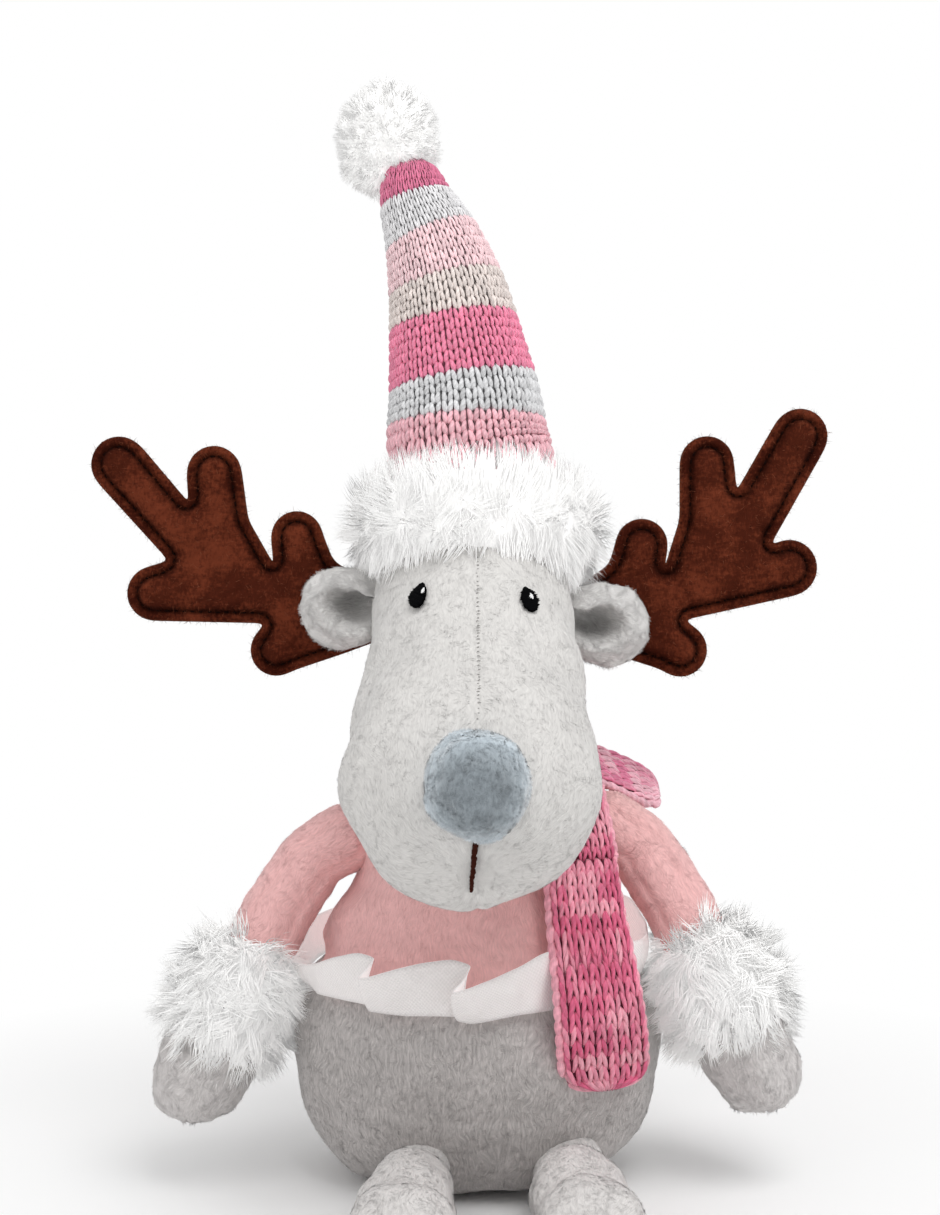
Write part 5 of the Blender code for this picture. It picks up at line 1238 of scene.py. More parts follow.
def buildHat():
    # two lobes lean together in every column of every row, over a cone darkened as painted shade between the
    # stitches
    h = hatShape
    rng = np.random.default_rng(81)
    fine = np.linspace(-0.09, 0.995, 400)
    centre, size, *_ = hatFrame(fine)
    length = lengthAlong(centre)
    rows = int(length[-1] / h["rowHeight"])
    rowShare = np.interp((np.arange(rows) + 0.5) / rows * length[-1], length, fine)
    step = np.gradient(rowShare)
    front = hatPlace(np.full(rows, -math.pi / 2), rowShare)[0][:, 2]
    stripe = np.searchsorted([s[0] for s in h["stripes"]], front, side="right") - 1
    colour = np.array([s[1] for s in h["stripes"]])[stripe]
    column = ringAngles(h["columns"])
    half = turn / h["columns"]
    startUV, endUV, dyeAndShade, tint, pitch = [], [], [], [], []
    for leg in (-1, 1):
        angle = column[None] + half * 0.02 + 0 * rowShare[:, None]
        low = np.stack([angle + leg * half * 0.37, rowShare[:, None] - step[:, None] * 0.78 + 0 * angle],
                       axis=2)
        high = np.stack([angle + leg * half * 0.10, rowShare[:, None] + step[:, None] * 0.86 + 0 * angle],
                        axis=2)
        startUV.append(low.reshape(-1, 2))
        endUV.append(high.reshape(-1, 2))
        dyeAndShade.append(np.repeat(colour, h["columns"], axis=0))
        tint.append(np.clip(0.5 + rng.normal(0, 0.25, rows * h["columns"]), 0, 1))
        pitch.append(np.repeat(np.maximum(np.interp(rowShare, fine, size) * half, 0.0006), h["columns"]))
    startUV, endUV, dyeAndShade, tint, pitch = map(np.concatenate, (startUV, endUV, dyeAndShade, tint, pitch))
    startUV += rng.normal(0, 0.006, startUV.shape) * (1, 0.3)
    endUV += rng.normal(0, 0.006, endUV.shape) * (1, 0.3)
    endUV[:, 1] = np.minimum(endUV[:, 1], 0.998)

    def surface(uv):
        place, out, along = hatPlace(uv[:, 0], np.clip(uv[:, 1], -0.1, 0.999), np.full(len(uv), -0.0008))
        return place, out, along
    lobes = knitLobes(startUV, endUV, surface, pitch, dyeAndShade, tint, h["lift"], 82)
    rings, around = 90, 76
    share = np.linspace(-0.09, 1.0, rings)
    angle = ringAngles(around)
    grid = hatPlace(np.tile(angle, (rings, 1)), np.tile(share[:, None], (1, around)),
                    np.full((rings, around), -0.0009))[0]
    frontZ = hatPlace(np.full(rings, -math.pi / 2), share)[0][:, 2]
    tone = np.array([s[1] for s in h["stripes"]])[np.searchsorted([s[0] for s in h["stripes"]], frontZ,
                                                                  side="right") - 1]
    # painted shade: the cone takes each stripe's colour at 0.45
    dark = np.concatenate([np.repeat(tone * 0.45, around, axis=0), tone[:1] * 0.45, tone[-1:] * 0.45])
    base = knitBase(ringPatch(grid), dark, 0.2)
    addPiece("hatKnit", joined([base, lobes]), yarnKnit, "hat", ("hat_knit", "hat_filling"))


pomShape = {"out": (-0.008, 0.006, 0.0075), "radius": 0.0180, "halfHeight": 0.0205, "core": 0.86}
pomCoat = {"count": 12000, "locks": 1500, "length": 0.0042, "spread": 0.30, "lift": 1.0, "pull": 0.26,
           "levels": 2,
           "least": 0.8, "width": 0.00026}


def buildPompom():
    # a ball with short dense fur, tied with three turns of thread
    tip = hatFrame(np.array([1.0]))[0][0]
    centre = tip + np.array(pomShape["out"])
    core = ballRings(centre, pomShape["radius"] * pomShape["core"], pomShape["halfHeight"] * pomShape["core"],
                     50, 64)
    core = swollen(core, 0.0006, 0.008, 91)
    coat = fur(core, pomCoat, 92)
    addPiece("hatPompom", joined([marked(ringPatch(core), 0.5, 0.4), coat]), furDense, "pompom",
             ("hat_pompom",))
    ties = []
    for k, tilt in enumerate((0.0, 0.5, -0.45)):
        angle = np.linspace(0, turn, 28)[:-1]
        ring = np.stack([0.0032 * np.cos(angle), 0.0032 * np.sin(angle), 0.0010 * np.sin(angle + k)
                         + tilt * 0.0012], axis=1)
        centres = tip + np.array((0, 0, 0.0008)) + ring
        loop = np.concatenate([centres, centres[:2]])
        tube = pathTube(loop, np.full(len(loop), 0.00055), 8, (0, 0, 1))[:-1]
        ties.append(ringPatch(tube))
    addPiece("pompomTie", joined(ties), whiteThread, "pompom", ("pompom_cord",))


buildBand()
buildHat()
buildPompom()
print("hat made")


# ---- arms, cuffs and hands

armShape = {
    "shoulder": {rightSide: (-0.0425, 0.0015, 0.1145), leftSide: (0.0425, 0.0015, 0.1185)},
    "reach": 0.0540, "forward": 0.0220, "drop": 0.0935, "sleeve": 0.0120, "hand": 0.0160, "cuff": 0.0213,
    # out, drop, forward, radius
    "sleeveRows": [(-0.105, -0.045, -0.04, 0.42), (-0.060, -0.025, -0.02, 0.80), (0.02, 0.005, 0.0, 0.99),
                   (0.215, 0.07, 0.08, 0.97), (0.33, 0.15, 0.22, 0.99), (0.41, 0.22, 0.34, 1.0),
                   (0.485, 0.29, 0.46, 1.0),
                   (0.58, 0.395, 0.60, 1.0), (0.655, 0.485, 0.72, 1.0), (0.69, 0.53, 0.76, 0.8)],
    "handRows": [(0.66, 0.49, 0.73, 0.50), (0.68, 0.515, 0.75, 0.74), (0.75, 0.60, 0.82, 0.83),
                 (0.84, 0.72, 0.90, 0.98),
                 (0.92, 0.835, 0.95, 1.0), (0.965, 0.91, 0.98, 0.86), (0.99, 0.97, 0.99, 0.56),
                 (1.0, 1.0, 1.0, 0.10)],
    "cuffRows": [(0.56, 0.37, 0.58, 0.52), (0.62, 0.44, 0.67, 0.93), (0.71, 0.545, 0.78, 1.0),
                 (0.795, 0.655, 0.86, 0.98),
                 (0.85, 0.735, 0.91, 0.62)],
}
sleeveNap = {"count": 8000, "width": 0.00011, "height": 0.00018, "length": 0.0022, "sway": 0.65,
             "clump": 0.0110}
handNap = {"count": 8500, "width": 0.00013, "height": 0.00026, "length": 0.0020, "sway": 1.1, "clump": 0.0070}
cuffCoat = {"count": 12000, "locks": 420, "length": 0.0125, "spread": 0.38, "lift": 0.34, "pull": 0.46,
            "levels": 2,
            "least": 0.6, "width": 0.00028}


def armRings(side, rows, size, count, around, shrink=0.0):
    # the arm's middle line at even steps, with the rows' radius
    a = armShape
    table = numbered(rows)
    out, drop, forward, radius = smoothRows(table, np.linspace(0, len(rows) - 1, count))
    centres = np.array(a["shoulder"][side]) + np.stack([side * a["reach"] * out, -a["forward"] * forward,
                                                        -a["drop"] * drop], axis=1)
    return pathTube(centres, np.maximum(size * radius - shrink, 0.0006), around)


def gathered(grid):
    # the end of the hand is drawn together in small pleats: depth cos(9 a) towards the last rings
    rows, around = grid.shape[:2]
    angle = ringAngles(around)
    near = np.clip((np.linspace(0, 1, rows) - 0.70) / 0.22, 0, 1) ** 1.5
    press = 0.0008 * near[:, None] * (0.5 + 0.5 * np.cos(9 * angle + 2 * np.sin(3 * angle)))[None]
    return grid - gridNormals(grid) * press[..., None]


def buildArm(side):
    # a sleeve with a pressed seam, a gathered hand and a fur cuff along one middle line
    a, name = armShape, sideNames[side]
    sleeve = swollen(armRings(side, a["sleeveRows"], a["sleeve"], 90, 96), 0.0003, 0.024, 101 + side)
    seam = 0.0007 * np.exp(-((sleeve[..., 1] - sleeve[..., 1].mean(axis=1, keepdims=True)
                              + 0.0095) / 0.0010) ** 2)
    sleeve = sleeve - gridNormals(sleeve) * seam[..., None]
    sleeve = swollen(sleeve, 0.0001, 0.005, 102)
    addPiece("sleeve" + name.title(), plushOf(sleeve, sleeveNap, 103 + side), plushPink, "arm_" + name,
             ("sleeve_" + name, "sleeve_filling_" + name))
    hand = swollen(armRings(side, a["handRows"], a["hand"], 70, 84), 0.0005, 0.016, 105 + side)
    hand = gathered(swollen(hand, 0.0001, 0.004, 106))
    addPiece("hand" + name.title(), plushOf(hand, handNap, 107 + side), plushHand, "arm_" + name,
             ("hand_" + name, "hand_filling_" + name))
    cuff = armRings(side, a["cuffRows"], a["cuff"], 40, 72, 0.0036)
    low = -upward

    def cuffLay(place):
        return np.tile(low * 0.38, (len(place), 1))
    coat = fur(cuff, cuffCoat, 109 + side, cuffLay)
    addPiece("furCuff" + name.title(), joined([marked(ringPatch(cuff), 0.5, 0.35), coat]), furWhite,
             "arm_" + name,
             ("fur_cuff_" + name,))


# ---- legs

legShape = {
    "hip": {leftSide: (0.0300, -0.04059, 0.0130), rightSide: (-0.0190, -0.04577, 0.0130)},
    "splay": math.radians(2.5), "length": 0.075, "halfWidth": 0.0148, "halfHeight": 0.0125,
    # length, width, height, rise
    "rows": [(-0.135, 0.30, 0.34, 0.0), (-0.09, 0.56, 0.64, 0.0), (0.0, 0.70, 0.78, 0.0),
             (0.12, 0.75, 0.81, 0.0),
             (0.22, 0.88, 0.91, 0.0), (0.35, 0.98, 1.00, 0.02), (0.56, 1.00, 1.02, 0.03),
             (0.73, 1.02, 1.05, 0.06),
             (0.86, 1.04, 1.09, 0.10), (0.935, 0.94, 0.99, 0.12), (0.98, 0.62, 0.66, 0.13),
             (1.0, 0.16, 0.18, 0.14)],
}
legNap = {"count": 11500, "width": 0.00012, "height": 0.00024, "length": 0.0022, "sway": 1.0, "clump": 0.0085}


def buildLeg(side):
    # ovals along the splayed middle line, kept above the floor
    s, name = legShape, sideNames[side]
    heading = np.array((side * math.sin(s["splay"]), -math.cos(s["splay"]), 0))
    across = np.array((math.cos(s["splay"]), side * math.sin(s["splay"]), 0))
    length, width, height, rise = smoothRows(numbered(s["rows"]), np.linspace(0, len(s["rows"]) - 1, 90))
    centres = np.array(s["hip"][side]) + heading * (s["length"] * length)[:, None]
    centres = centres + upward * (s["halfHeight"] * rise)[:, None]
    grid = ovalRings(centres, across, upward, s["halfWidth"] * width,
                     s["halfHeight"] * height, 90)
    grid = swollen(grid, 0.0006, 0.020, 111 + side)
    grid = aboveFloor(swollen(aboveFloor(grid, 0.0), 0.0001, 0.004, 112), bodyShape["off"])
    addPiece("leg" + name.title(), plushOf(grid, legNap, 113 + side, bodyShape["pileOff"]), plushLeg,
             "lower_leg_" + name, ("leg_" + name, "leg_filling_" + name))


for side in (rightSide, leftSide):
    buildArm(side)
    buildLeg(side)
print("limbs made")


# ---- waist ribbon

ribbonShape = {
    # the two edges in front, as pixel and depth in mm: top x, y, depth, lower x, y, depth
    "front": [(321, 914, 16, 319, 958, 16), (302, 943, -4, 310, 985, -4), (292, 961, -17, 318, 988, -20),
              (312, 964, -30, 322, 994, -33), (340, 956, -40, 345, 1000, -42),
              (364, 954, -46, 364, 1004, -48),
              (374, 959, -49, 371, 1005, -50), (369, 967, -53, 371, 1007, -51), (359.5, 977, -57, 371, 1010,
                                                                                 -52),
              (372, 976, -59, 384, 1013, -54), (400, 968, -58.5, 410, 1015, -54.5),
              (430, 962, -55, 435, 1016, -54.5),
              (458, 961, -52, 457, 1017, -54), (470, 966, -52, 463, 1018, -54), (466, 977, -56.5, 461, 1019,
                                                                                 -55),
              (454, 992, -62, 459, 1021, -56.5), (463, 990, -63, 468, 1023, -57), (485, 982, -60.5, 495, 1019,
                                                                                   -56.5),
              (515, 969, -55.5, 525, 1014, -54), (545, 953, -49.5, 552, 1010, -50),
              (580, 945, -42, 585, 1003, -43),
              (612, 943, -31, 615, 993, -33), (641, 939, -20, 636, 975, -22), (646, 933, -12, 640, 972, -14),
              (641, 915, 3, 640, 957, 2), (623, 895, 20, 622, 938, 20)],
    # pleats behind: angle, how far out at the top
    "back": [(38, 3), (50, 4), (62, 3), (58, 8), (72, 6), (86, 4), (95, 3), (91, 8), (106, 6), (120, 4),
             (129, 3),
             (125, 8), (138, 5), (150, 3)],
    "width": 0.0150, "thick": 0.0006, "step": 0.0005, "levels": 10, "gap": 0.0008, "belly": 0.0010,
}


def ribbonMaterial(name):
    # woven band: rows of fine dots from sin(5200 u) sin(5200 v) of the ribbon's own coordinates in metres
    made, tree, shader = newMaterial(name, 0.6, 0.15, 0.4)
    place = addNode(tree, "ShaderNodeSeparateXYZ", {0: named(tree, "yarn", "Vector")})
    u, v = (sums(tree, "SINE", sums(tree, "MULTIPLY", place.outputs[k], 5200.0)) for k in (0, 1))
    dots = sums(tree, "MULTIPLY", u, v)
    colour = [value * share for value, share in zip((0.90, 0.88, 0.875), (1, 0.975, 0.97))]
    # painted shade of the weave: the colour is darker where the dots' bump is low
    tree.links.new(shaded(tree, (*colour, 1), timesPlus(tree, dots, 0.06, 0.94)), shader.inputs["Base Color"])
    bumped(tree, shader, dots, 0.35, 0.0002)
    # thin white cloth lets light through to its inner face: glow = 0.05 + 0.30 rise
    glow = timesPlus(tree, named(tree, "rise"), 0.30, 0.05)
    tree.links.new(shaded(tree, (1, 1, 1, 1), glow), shader.inputs["Emission Color"])
    shader.inputs["Emission Strength"].default_value = 1.0
    return made


def bodyAt(height):
    # middle, half width and half depth of the body at a height
    s = bodyShape
    width, depth, lean = smoothRows(s["rows"], np.clip(height / s["height"], 0, 1))
    return s["lean"] * lean, s["width"] / 2 * width, s["depth"] / 2 * depth


def pushedOut(points, gap):
    # out of the body's ellipse at each point's height
    middle, halfWidth, halfDepth = bodyAt(points[..., 2])
    x, y = points[..., 0], points[..., 1] - middle
    share = np.hypot(x / (halfWidth + gap), y / (halfDepth + gap))
    grow = np.where(share < 1, 1 / np.maximum(share, 1e-6), 1.0)
    return np.stack([x * grow, y * grow + middle, points[..., 2]], axis=-1)


def buildRibbon():
    # two edges through the keyed places, a straight weave between them, and pleats behind
    r = ribbonShape
    rows = np.array(r["front"], float)
    top, low = fromPhoto(rows[:, 0], rows[:, 1], rows[:, 2] / 1000), fromPhoto(rows[:, 3], rows[:, 4],
                                                                               rows[:, 5] / 1000)
    angle, out = np.radians([b[0] for b in r["back"]]), np.array([b[1] for b in r["back"]]) / 1000
    height = np.interp(angle, (0.4, 2.8), (0.0890, 0.0850)) - np.clip(out - 0.004, 0, 1) * 0.7

    def behind(stand, z):
        middle, halfWidth, halfDepth = bodyAt(z)
        return np.stack([(halfWidth + stand) * np.cos(angle), middle + (halfDepth + stand) * np.sin(angle),
                         z], axis=-1)
    top = np.concatenate([top, behind(out + 0.0025, height)])
    low = np.concatenate([low, behind(out * 0.45 + 0.001, height - r["width"] + 0.001)])
    edges = np.concatenate([top, low], axis=1)
    edges = np.concatenate([edges[-3:], edges, edges[:4]])
    at = lengthAlong(edges)
    fine = np.arange(at[3], at[-4], r["step"])[:-1]
    line = np.stack(smoothRows(np.column_stack([at, edges]), fine), axis=-1)
    v = np.linspace(0, 1, r["levels"])[:, None, None]
    grid = line[None, :, :3] * (1 - v) + line[None, :, 3:] * v
    normal = unit(np.cross(np.gradient(grid, axis=1), np.gradient(grid, axis=0)))
    away = grid - np.array((0, 0.002, 0))
    normal = normal * np.sign((normal * away)[..., :2].sum(axis=-1).mean())
    rib = 0.00018 * ripple(grid, 0.009, 119)[..., None]
    grid = pushedOut(grid + normal * (r["belly"] * np.sin(math.pi * v) + rib), r["gap"])
    inner, outer = grid, grid + normal * r["thick"]
    closed = np.concatenate([inner, outer[::-1], inner[:1]])
    patch = ringPatch(closed, closed=False)
    path = outer[r["levels"] // 2]
    length = np.linalg.norm(np.roll(path, -1, axis=0) - path, axis=1)
    along = np.concatenate([[0], np.cumsum(length)[:-1]])
    tall = np.concatenate([v[:, 0, 0], v[::-1, 0, 0]]) * r["width"]
    count = len(closed) - 1
    patch["yarn"] = np.stack([np.tile(along, count), np.repeat(tall, len(fine)), np.zeros(count * len(fine))],
                             axis=1)
    patch["rise"] = np.repeat(np.concatenate([np.ones(r["levels"]), np.zeros(count - r["levels"])]),
                              len(fine))
    patch["tint"] = patch["rise"] * 0 + 0.5
    made = addPiece("waistRibbon", patch, ribbonCloth, "torso", ("waist_ribbon",))


ribbonCloth = ribbonMaterial("ribbonCloth")
buildRibbon()


# ---- scarf

wrapShape = {"reach": 0.0275, "halfThick": 0.0042, "halfHigh": 0.0072, "front": 0.0215, "side": -0.0005,
             "back": 0.0010, "power": 1.4, "out": 0.0030, "around": 150, "rows": 25, "columns": 10,
             "row": 0.0042}
tailShape = {"turn": math.radians(24), "pivot": (0.0345, -0.02753, 0.1105), "length": 0.0720, "width": 0.0295,
             "thick": 0.0052, "columns": 7, "rows": 16, "endIn": 0.0215, "topIn": 0.0290}
shoulderTail = {"pivot": (0.0335, 0.0162, 0.1406), "length": 0.036, "width": 0.0250, "thick": 0.0044,
                "roll": math.radians(27), "dips": (8, 16, 28, 32, 33, 34), "columns": 6, "rows": 9,
                "rootIn": (0.0015, 0.0115)}
strapShape = {"width": 0.0245, "length": 0.0270, "thick": 0.0042, "columns": 7, "rows": 6,
              # share, then the middle line's place
              "line": [(0.0, 0.0298, -0.0225, 0.1345), (0.35, 0.0315, -0.0250, 0.1255),
                       (0.7, 0.0336, -0.0272, 0.1165),
                       (1.0, 0.0345, -0.0275, 0.1085)]}
scarfDyes = np.array([(0.72, 0.135, 0.250), (0.78, 0.19, 0.31), (0.88, 0.34, 0.44), (0.96, 0.58, 0.63)])
paleDyes = np.array([(0.79, 0.24, 0.38), (0.85, 0.34, 0.46), (0.92, 0.50, 0.59), (0.96, 0.66, 0.72)])


def stripLobes(columns, rows, surface, size, dyes, rng, seed, lift, flip=False):
    # "V" pairs of lobes on a strip given by surface(u, v), u from -1 to 1 across and v from 0 to 1 along
    u = (np.arange(columns) + 0.5) / columns * 2 - 1
    v = (np.arange(rows) + 0.5) / rows
    half, step = 1 / columns, 1 / rows
    startUV, endUV = [], []
    for leg in (-1, 1):
        uu, vv = np.meshgrid(u, v)
        lean = -1 if flip else 1
        startUV.append(np.stack([uu + leg * half * 0.92, vv + lean * step * 0.92], axis=2).reshape(-1, 2))
        endUV.append(np.stack([uu + leg * half * 0.12, vv - lean * step * 1.00], axis=2).reshape(-1, 2))
    startUV, endUV = np.concatenate(startUV), np.concatenate(endUV)
    startUV[:, 1], endUV[:, 1] = np.clip(startUV[:, 1], 0, 1), np.clip(endUV[:, 1], 0, 1)
    count = len(startUV)
    startUV += rng.normal(0, 0.012, (count, 2)) * (1, 0.3)
    tint = np.clip(0.5 + rng.normal(0, 0.22, count), 0, 1)
    drift = 0.36 + 0.24 * rowDrift(startUV, rows, seed) + rng.normal(0, 0.15, count)
    at = np.clip(drift, 0, 0.75) * (len(dyes) - 1)
    k = at.astype(int)
    dyeAndShade = dyes[k] + (dyes[k + 1] - dyes[k]) * (at - k)[:, None]
    return knitLobes(startUV, endUV, surface, np.full(count, size), dyeAndShade, tint, lift, seed, 5, 0.92)


def rowDrift(uv, rows, seed):
    # the yarn's colour drifts along each row: noise that is long across the strip and new in every row
    row = np.round(uv[:, 1] * rows)
    return ripple(np.stack([uv[:, 0] * 0.9, row * 7.3, row * 0], axis=1), 2.2, seed)


def wrapLine(angle):
    # an oval round the neck, lower by |sin(angle)|^power in front and behind
    w = wrapShape
    x, y = np.cos(angle), np.sin(angle)
    drop = w["side"] + (np.where(y > 0, w["back"], w["front"]) - w["side"]) * np.abs(y) ** w["power"]
    height = bodyShape["height"] - drop
    middle, _, halfDepth = bodyAt(height - w["halfHigh"] / 2)
    return np.stack([w["reach"] * x, middle + (halfDepth + w["out"]) * y, height], axis=-1)


def wrapSurface(angle, section, out=0.0):
    # an oval section on that line: place + a cos(s) way + b sin(s) rise
    w = wrapShape
    place = wrapLine(angle)
    along = unit(wrapLine(angle + 0.02) - wrapLine(angle - 0.02))
    way = unit(np.stack([along[..., 1], -along[..., 0], 0 * along[..., 0]], axis=-1))
    rise = np.cross(along, way)
    rise = np.where(rise[..., 2:] < 0, -rise, rise)
    cosS, sinS = np.cos(section)[..., None], np.sin(section)[..., None]
    normal = unit(way * cosS / w["halfThick"] + rise * sinS / w["halfHigh"])
    return place + way * w["halfThick"] * cosS + rise * w["halfHigh"] * sinS + normal * out, normal, along


def buildWrap():
    # a ring darkened as painted shade under V-shaped pairs of lobes
    w, rng = wrapShape, np.random.default_rng(121)
    angle = ringAngles(w["around"])
    section = math.pi + np.linspace(0, turn, w["rows"])
    grid = wrapSurface(np.tile(angle, (w["rows"], 1)), np.tile(section[:, None], (1, w["around"])),
                       -0.0010)[0]
    # painted shade between the stitches: the first yarn colour at 0.4
    base = knitBase(ringPatch(grid, closed=False), scarfDyes[0] * 0.4, 0.3)
    made = addPiece("scarfWrap", base, yarnKnit, "torso", ("scarf_wrap", "neck_roll"))
    path = grid[w["rows"] // 2]
    length = float(np.linalg.norm(np.roll(path, -1, axis=0) - path, axis=1).sum())
    rows = int(length / w["row"])

    def surface(uv):
        return wrapSurface(uv[:, 1] * turn, uv[:, 0] * math.pi * 0.97, -0.0008)
    lobes = stripLobes(w["columns"], rows, surface, 0.0036, scarfDyes, rng, 122, 0.0009)
    stitches = addPiece("scarfWrapStitches", lobes, yarnKnit, "torso", ())


def tailAxes():
    # the way the front tail faces, and the way across it
    t = tailShape["turn"]
    return np.array((math.sin(t), -math.cos(t), 0)), np.array((math.cos(t), math.sin(t), 0))


def frontTailLine(share):
    # the tail hangs from under the wrap, over the ribbon and down the belly
    t = tailShape
    facing, across = tailAxes()
    share = np.asarray(share, float)
    z = t["pivot"][2] - t["length"] * share
    heights = np.linspace(t["pivot"][2] - t["length"] - 0.015, t["pivot"][2], 60)
    middle, halfWidth, halfDepth = bodyAt(heights)
    support = np.hypot(halfWidth * facing[0], halfDepth * facing[1]) + middle * facing[1]
    reach = np.maximum.accumulate(support[::-1])[::-1]
    away = np.interp(z - 0.015, heights, reach)
    waist = bodyShape["height"] * bodyShape["waist"]
    over = np.clip(1.7 - np.abs(z - waist) / 0.015, 0, 1)
    out = away - 0.0010 + 0.0051 * over + t["thick"] / 2
    sideways = bodyShape["width"] / 2 - t["topIn"] + (t["topIn"] - t["endIn"]) * share
    along = (sideways - out * facing[0]) / across[0]
    place = facing * out[..., None] + across * along[..., None]
    place[..., 2] = z
    return place


def frontTailSurface(uv, thick):
    # u across, v along; the half width eases out at the top and rounds off at the lower corners
    t = tailShape
    facing, across = tailAxes()
    share = np.clip(uv[..., 1], 0, 1)
    rounding = np.sqrt(np.clip(1 - np.clip(share - 0.93, 0, 1) ** 2 / 0.0052, 0.05, 1))
    wide = (0.80 + 0.20 * np.minimum(share * 1.4, 1.0)) * rounding
    curl = 0.0006 * np.sin(share * 7.0) + 0.0010 * uv[..., 0] ** 4
    place = frontTailLine(share) + across * (t["width"] / 2 * wide * uv[..., 0])[..., None]
    return place + facing * (thick - curl)[..., None]


def strapSurface(uv, thick):
    # the scarf between the shoulder and the front tail; v from 0 at the shoulder down to 1
    facing, across = tailAxes()
    share = np.clip(uv[..., 1], 0, 1)
    line = np.stack(smoothRows(strapShape["line"], share), axis=-1)
    return line + across * (strapShape["width"] / 2 * uv[..., 0])[..., None] + facing * thick[..., None]


def buildTail(name, surfaceAt, shape, body, nodes, dyes, seed):
    # a flat core darkened as painted shade between the stitches, lobes down both edges and V-shaped pairs on
    # both faces
    rng = np.random.default_rng(seed)
    rows, around = 60, 48
    angle = ringAngles(around)
    share = np.linspace(0, 1, rows)
    u = np.tile(np.cos(angle) * 0.985, (rows, 1))
    thin = shape["thick"] / 2 - 0.0019
    bulge = np.sign(np.sin(angle)) * np.abs(np.sin(angle)) ** 0.6
    ends = np.clip(np.minimum(share, 1 - share) / 0.03, 0.15, 1) ** 0.5
    grid = surfaceAt(np.stack([u, np.tile(share[:, None], (1, around))], axis=2),
                     thin * bulge[None] * ends[:, None])
    # painted shade between the stitches: the first yarn colour at 0.5
    base = knitBase(ringPatch(grid), dyes[0] * 0.5, 0.3)
    made = addPiece(name, base, yarnKnit, body, nodes)
    sets = []
    for edge in (-1, 1):
        v = (np.arange(shape["rows"] + 1) / shape["rows"])[:, None]
        uv = np.concatenate([edge * 0.99 + 0 * v, v], axis=1)
        flat = np.zeros(len(uv))
        start = surfaceAt(np.clip(uv - (0, 0.85 / shape["rows"]), -1, 1), flat)
        end = surfaceAt(uv + (0, 0.85 / shape["rows"]), flat)
        out = unit(surfaceAt(uv, flat) - surfaceAt(uv * (0.8, 1), flat))
        end = end + out * 0.0004
        normal = unit(surfaceAt(uv, flat + 0.001) - surfaceAt(uv, flat))
        dyeAndShade = dyes[2] * 0.7 + dyes[3] * 0.3 + rng.normal(0, 0.03, (len(uv), 1))
        sets.append(spindles(start, end, out * 0.0004, normal, flat + shape["thick"] * 0.36, flat + 0.0015, 5,
                             8,
                             np.clip(0.5 + rng.normal(0, 0.2, len(uv)), 0, 1), dyeAndShade))
    for facing in (1, -1):
        def surface(uv):
            level = np.full(len(uv), (shape["thick"] / 2 - 0.0016) * facing)
            place = surfaceAt(uv, level)
            ahead = surfaceAt(uv + (0, 0.01), level) - surfaceAt(uv - (0, 0.01), level)
            sideways = surfaceAt(uv + (0.02, 0), level) - surfaceAt(uv - (0.02, 0), level)
            out = unit(np.cross(sideways, ahead))
            flip = np.sign((out * (surfaceAt(uv, level + 0.001 * facing) - place)).sum(axis=1))[:, None]
            return place, out * flip, ahead
        sets.append(stripLobes(shape["columns"], shape["rows"], surface, shape["width"] / shape["columns"],
                               dyes, rng,
                               seed + 2 + facing, 0.0013, flip=True))
    lobes = joined(sets)
    stitches = addPiece(name + "Stitches", lobes, yarnKnit, body, ())


def shoulderTailSurface(uv, thick):
    # heading turns down by the dips in degrees from the pivot outwards
    t = shoulderTail
    across = np.array((0, math.cos(t["roll"]), math.sin(t["roll"])))
    sideway = leftward
    level = np.cross(sideway, across)
    dips = np.radians(t["dips"])
    fine = np.linspace(0, 1, 201)
    dip = np.interp(fine * (len(dips) - 1), np.arange(len(dips)), dips)
    step = t["length"] / 200
    heading = sideway * np.cos(dip)[:, None] - level * np.sin(dip)[:, None]
    line = np.array(t["pivot"]) + np.concatenate([np.zeros((1, 3)), np.cumsum(heading[:-1] * step, axis=0)])
    share = np.clip(uv[..., 1], 0, 1)
    place = np.stack([np.interp(share, fine, line[:, k]) for k in range(3)], axis=-1)
    # the root follows the wrap's round: its back corner reaches further in
    place[..., 0] -= (1 - share) * np.interp(uv[..., 0], (-1, 1), t["rootIn"])
    angle = np.interp(share, fine, dip)
    out = level * np.cos(angle)[..., None] + sideway * np.sin(angle)[..., None]
    rounding = np.sqrt(np.clip(1 - np.clip(share - 0.86, 0, 1) ** 2 / 0.021, 0.05, 1))
    return place + across * (t["width"] / 2 * rounding * uv[..., 0])[..., None] + out * thick[..., None]


buildWrap()
buildTail("scarfStrap", strapSurface, strapShape, "torso", (), scarfDyes, 127)
buildTail("scarfFrontTail", frontTailSurface, tailShape, "front_tail", ("scarf_front_tail",), scarfDyes, 131)
buildTail("scarfShoulderTail", shoulderTailSurface, shoulderTail, "shoulder_tail", ("scarf_shoulder_tail",),
          paleDyes,
          141)
print("scarf made")


# ---- light and backdrop

stageShape = {"floor": (0.975, 0.975, 0.975), "half": 6.0, "aim": (0, 0, 0.17), "ambient": 0.66, "key": 7.6,
              "fill": 0.9, "fadeFrom": 0.08, "fadeTo": 0.32}


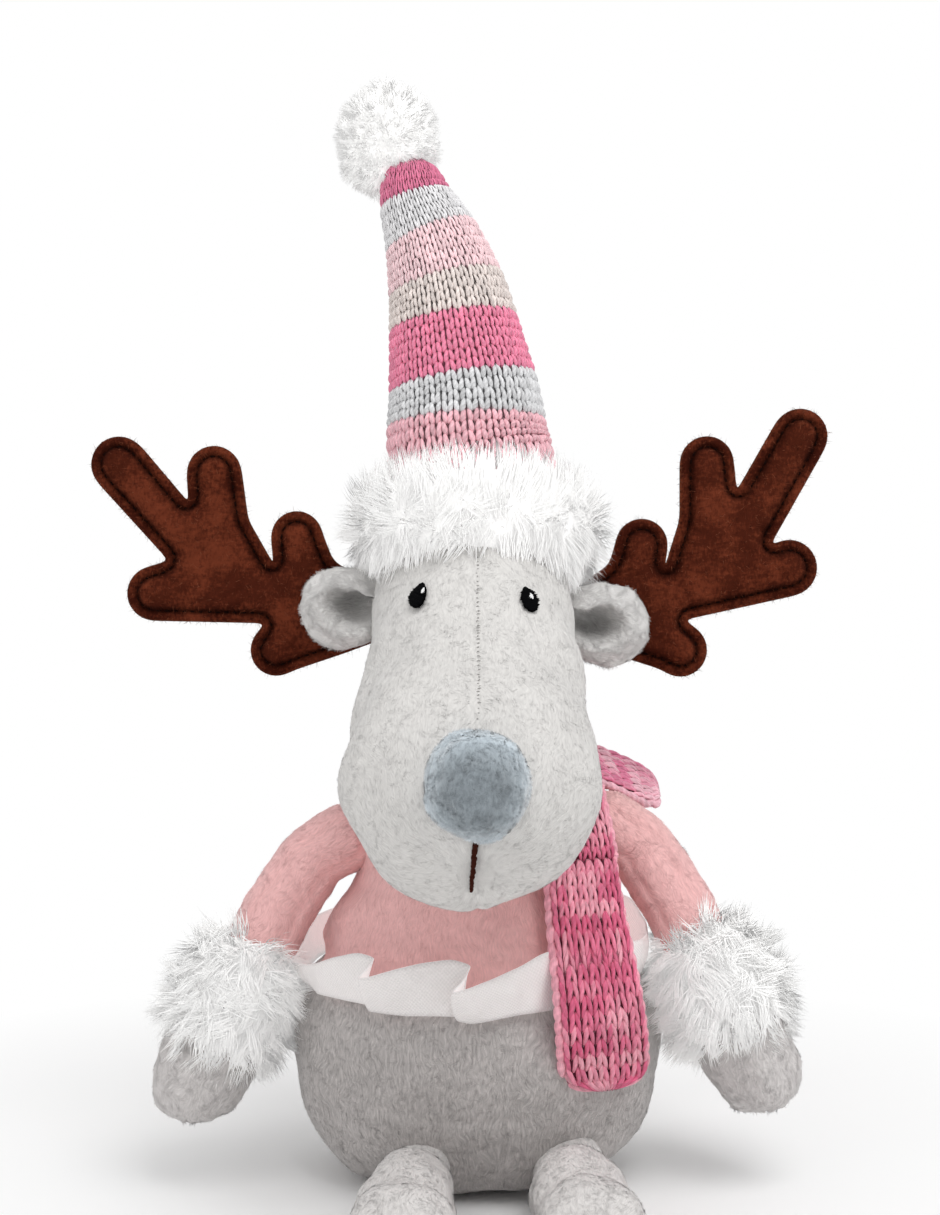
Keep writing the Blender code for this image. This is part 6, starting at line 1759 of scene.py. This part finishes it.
def buildStage():
    # the floor near the toy takes its shadow; further out it passes into the white of the backdrop
    points = stageShape["half"] * np.array([(-1, -1, 0), (1, -1, 0), (1, 1, 0), (-1, 1, 0)])
    patch = {"points": points, "quads": np.array([(0, 1, 2, 3)]), "tris": np.zeros((0, 3), int)}
    made = bpy.data.objects.new("studioFloor", meshOf("studioFloor", patch))
    bpy.context.scene.collection.objects.link(made)
    floor = bpy.data.materials.new("studioFloor")
    floor.use_nodes = True
    tree = floor.node_tree
    shader = tree.nodes["Principled BSDF"]
    shader.inputs["Base Color"].default_value = (*stageShape["floor"], 1)
    shader.inputs["Roughness"].default_value = 0.8
    shader.inputs["Specular IOR Level"].default_value = 0.1
    where = addNode(tree, "ShaderNodeTexCoord").outputs["Object"]
    far = addNode(tree, "ShaderNodeVectorMath", {0: where}, operation="LENGTH").outputs["Value"]
    fade = addNode(tree, "ShaderNodeMapRange", {"Value": far, "From Min": stageShape["fadeFrom"],
                                                "From Max": stageShape["fadeTo"]}).outputs[0]
    seen = addNode(tree, "ShaderNodeLightPath").outputs["Is Camera Ray"]
    white = addNode(tree, "ShaderNodeEmission", {"Color": (1, 1, 1, 1), "Strength": 1.0})
    blendNode = addNode(tree, "ShaderNodeMixShader", {0: sums(tree, "MULTIPLY", fade, seen),
                                                      1: shader.outputs[0],
                                                      2: white.outputs[0]})
    tree.links.new(blendNode.outputs[0], tree.nodes["Material Output"].inputs["Surface"])
    made.data.materials.append(floor)
    world = bpy.data.worlds.new("studioWorld")
    bpy.context.scene.world = world
    world.use_nodes = True
    tree = world.node_tree
    path = addNode(tree, "ShaderNodeLightPath")
    seen = sums(tree, "MAXIMUM", path.outputs["Is Camera Ray"],
                sums(tree, "MAXIMUM", path.outputs["Is Glossy Ray"], path.outputs["Is Transmission Ray"]))
    strength = timesPlus(tree, seen, 1 - stageShape["ambient"], stageShape["ambient"])
    background = tree.nodes["Background"]
    background.inputs["Color"].default_value = (1, 1, 1, 1)
    tree.links.new(strength, background.inputs["Strength"])
    for name, place, size, power in (("keyLight", (0.34, -0.62, 1.20), 0.8, stageShape["key"]),
                                     ("fillLight", (-0.75, -0.65, 0.55), 0.7, stageShape["fill"])):
        light = bpy.data.lights.new(name, "AREA")
        light.size, light.energy = size, power
        lamp = bpy.data.objects.new(name, light)
        lamp.location = place
        lamp.rotation_euler = (Vector(stageShape["aim"]) - Vector(place)).to_track_quat("-Z", "Y").to_euler()
        bpy.context.scene.collection.objects.link(lamp)


buildStage()
print("stage made")
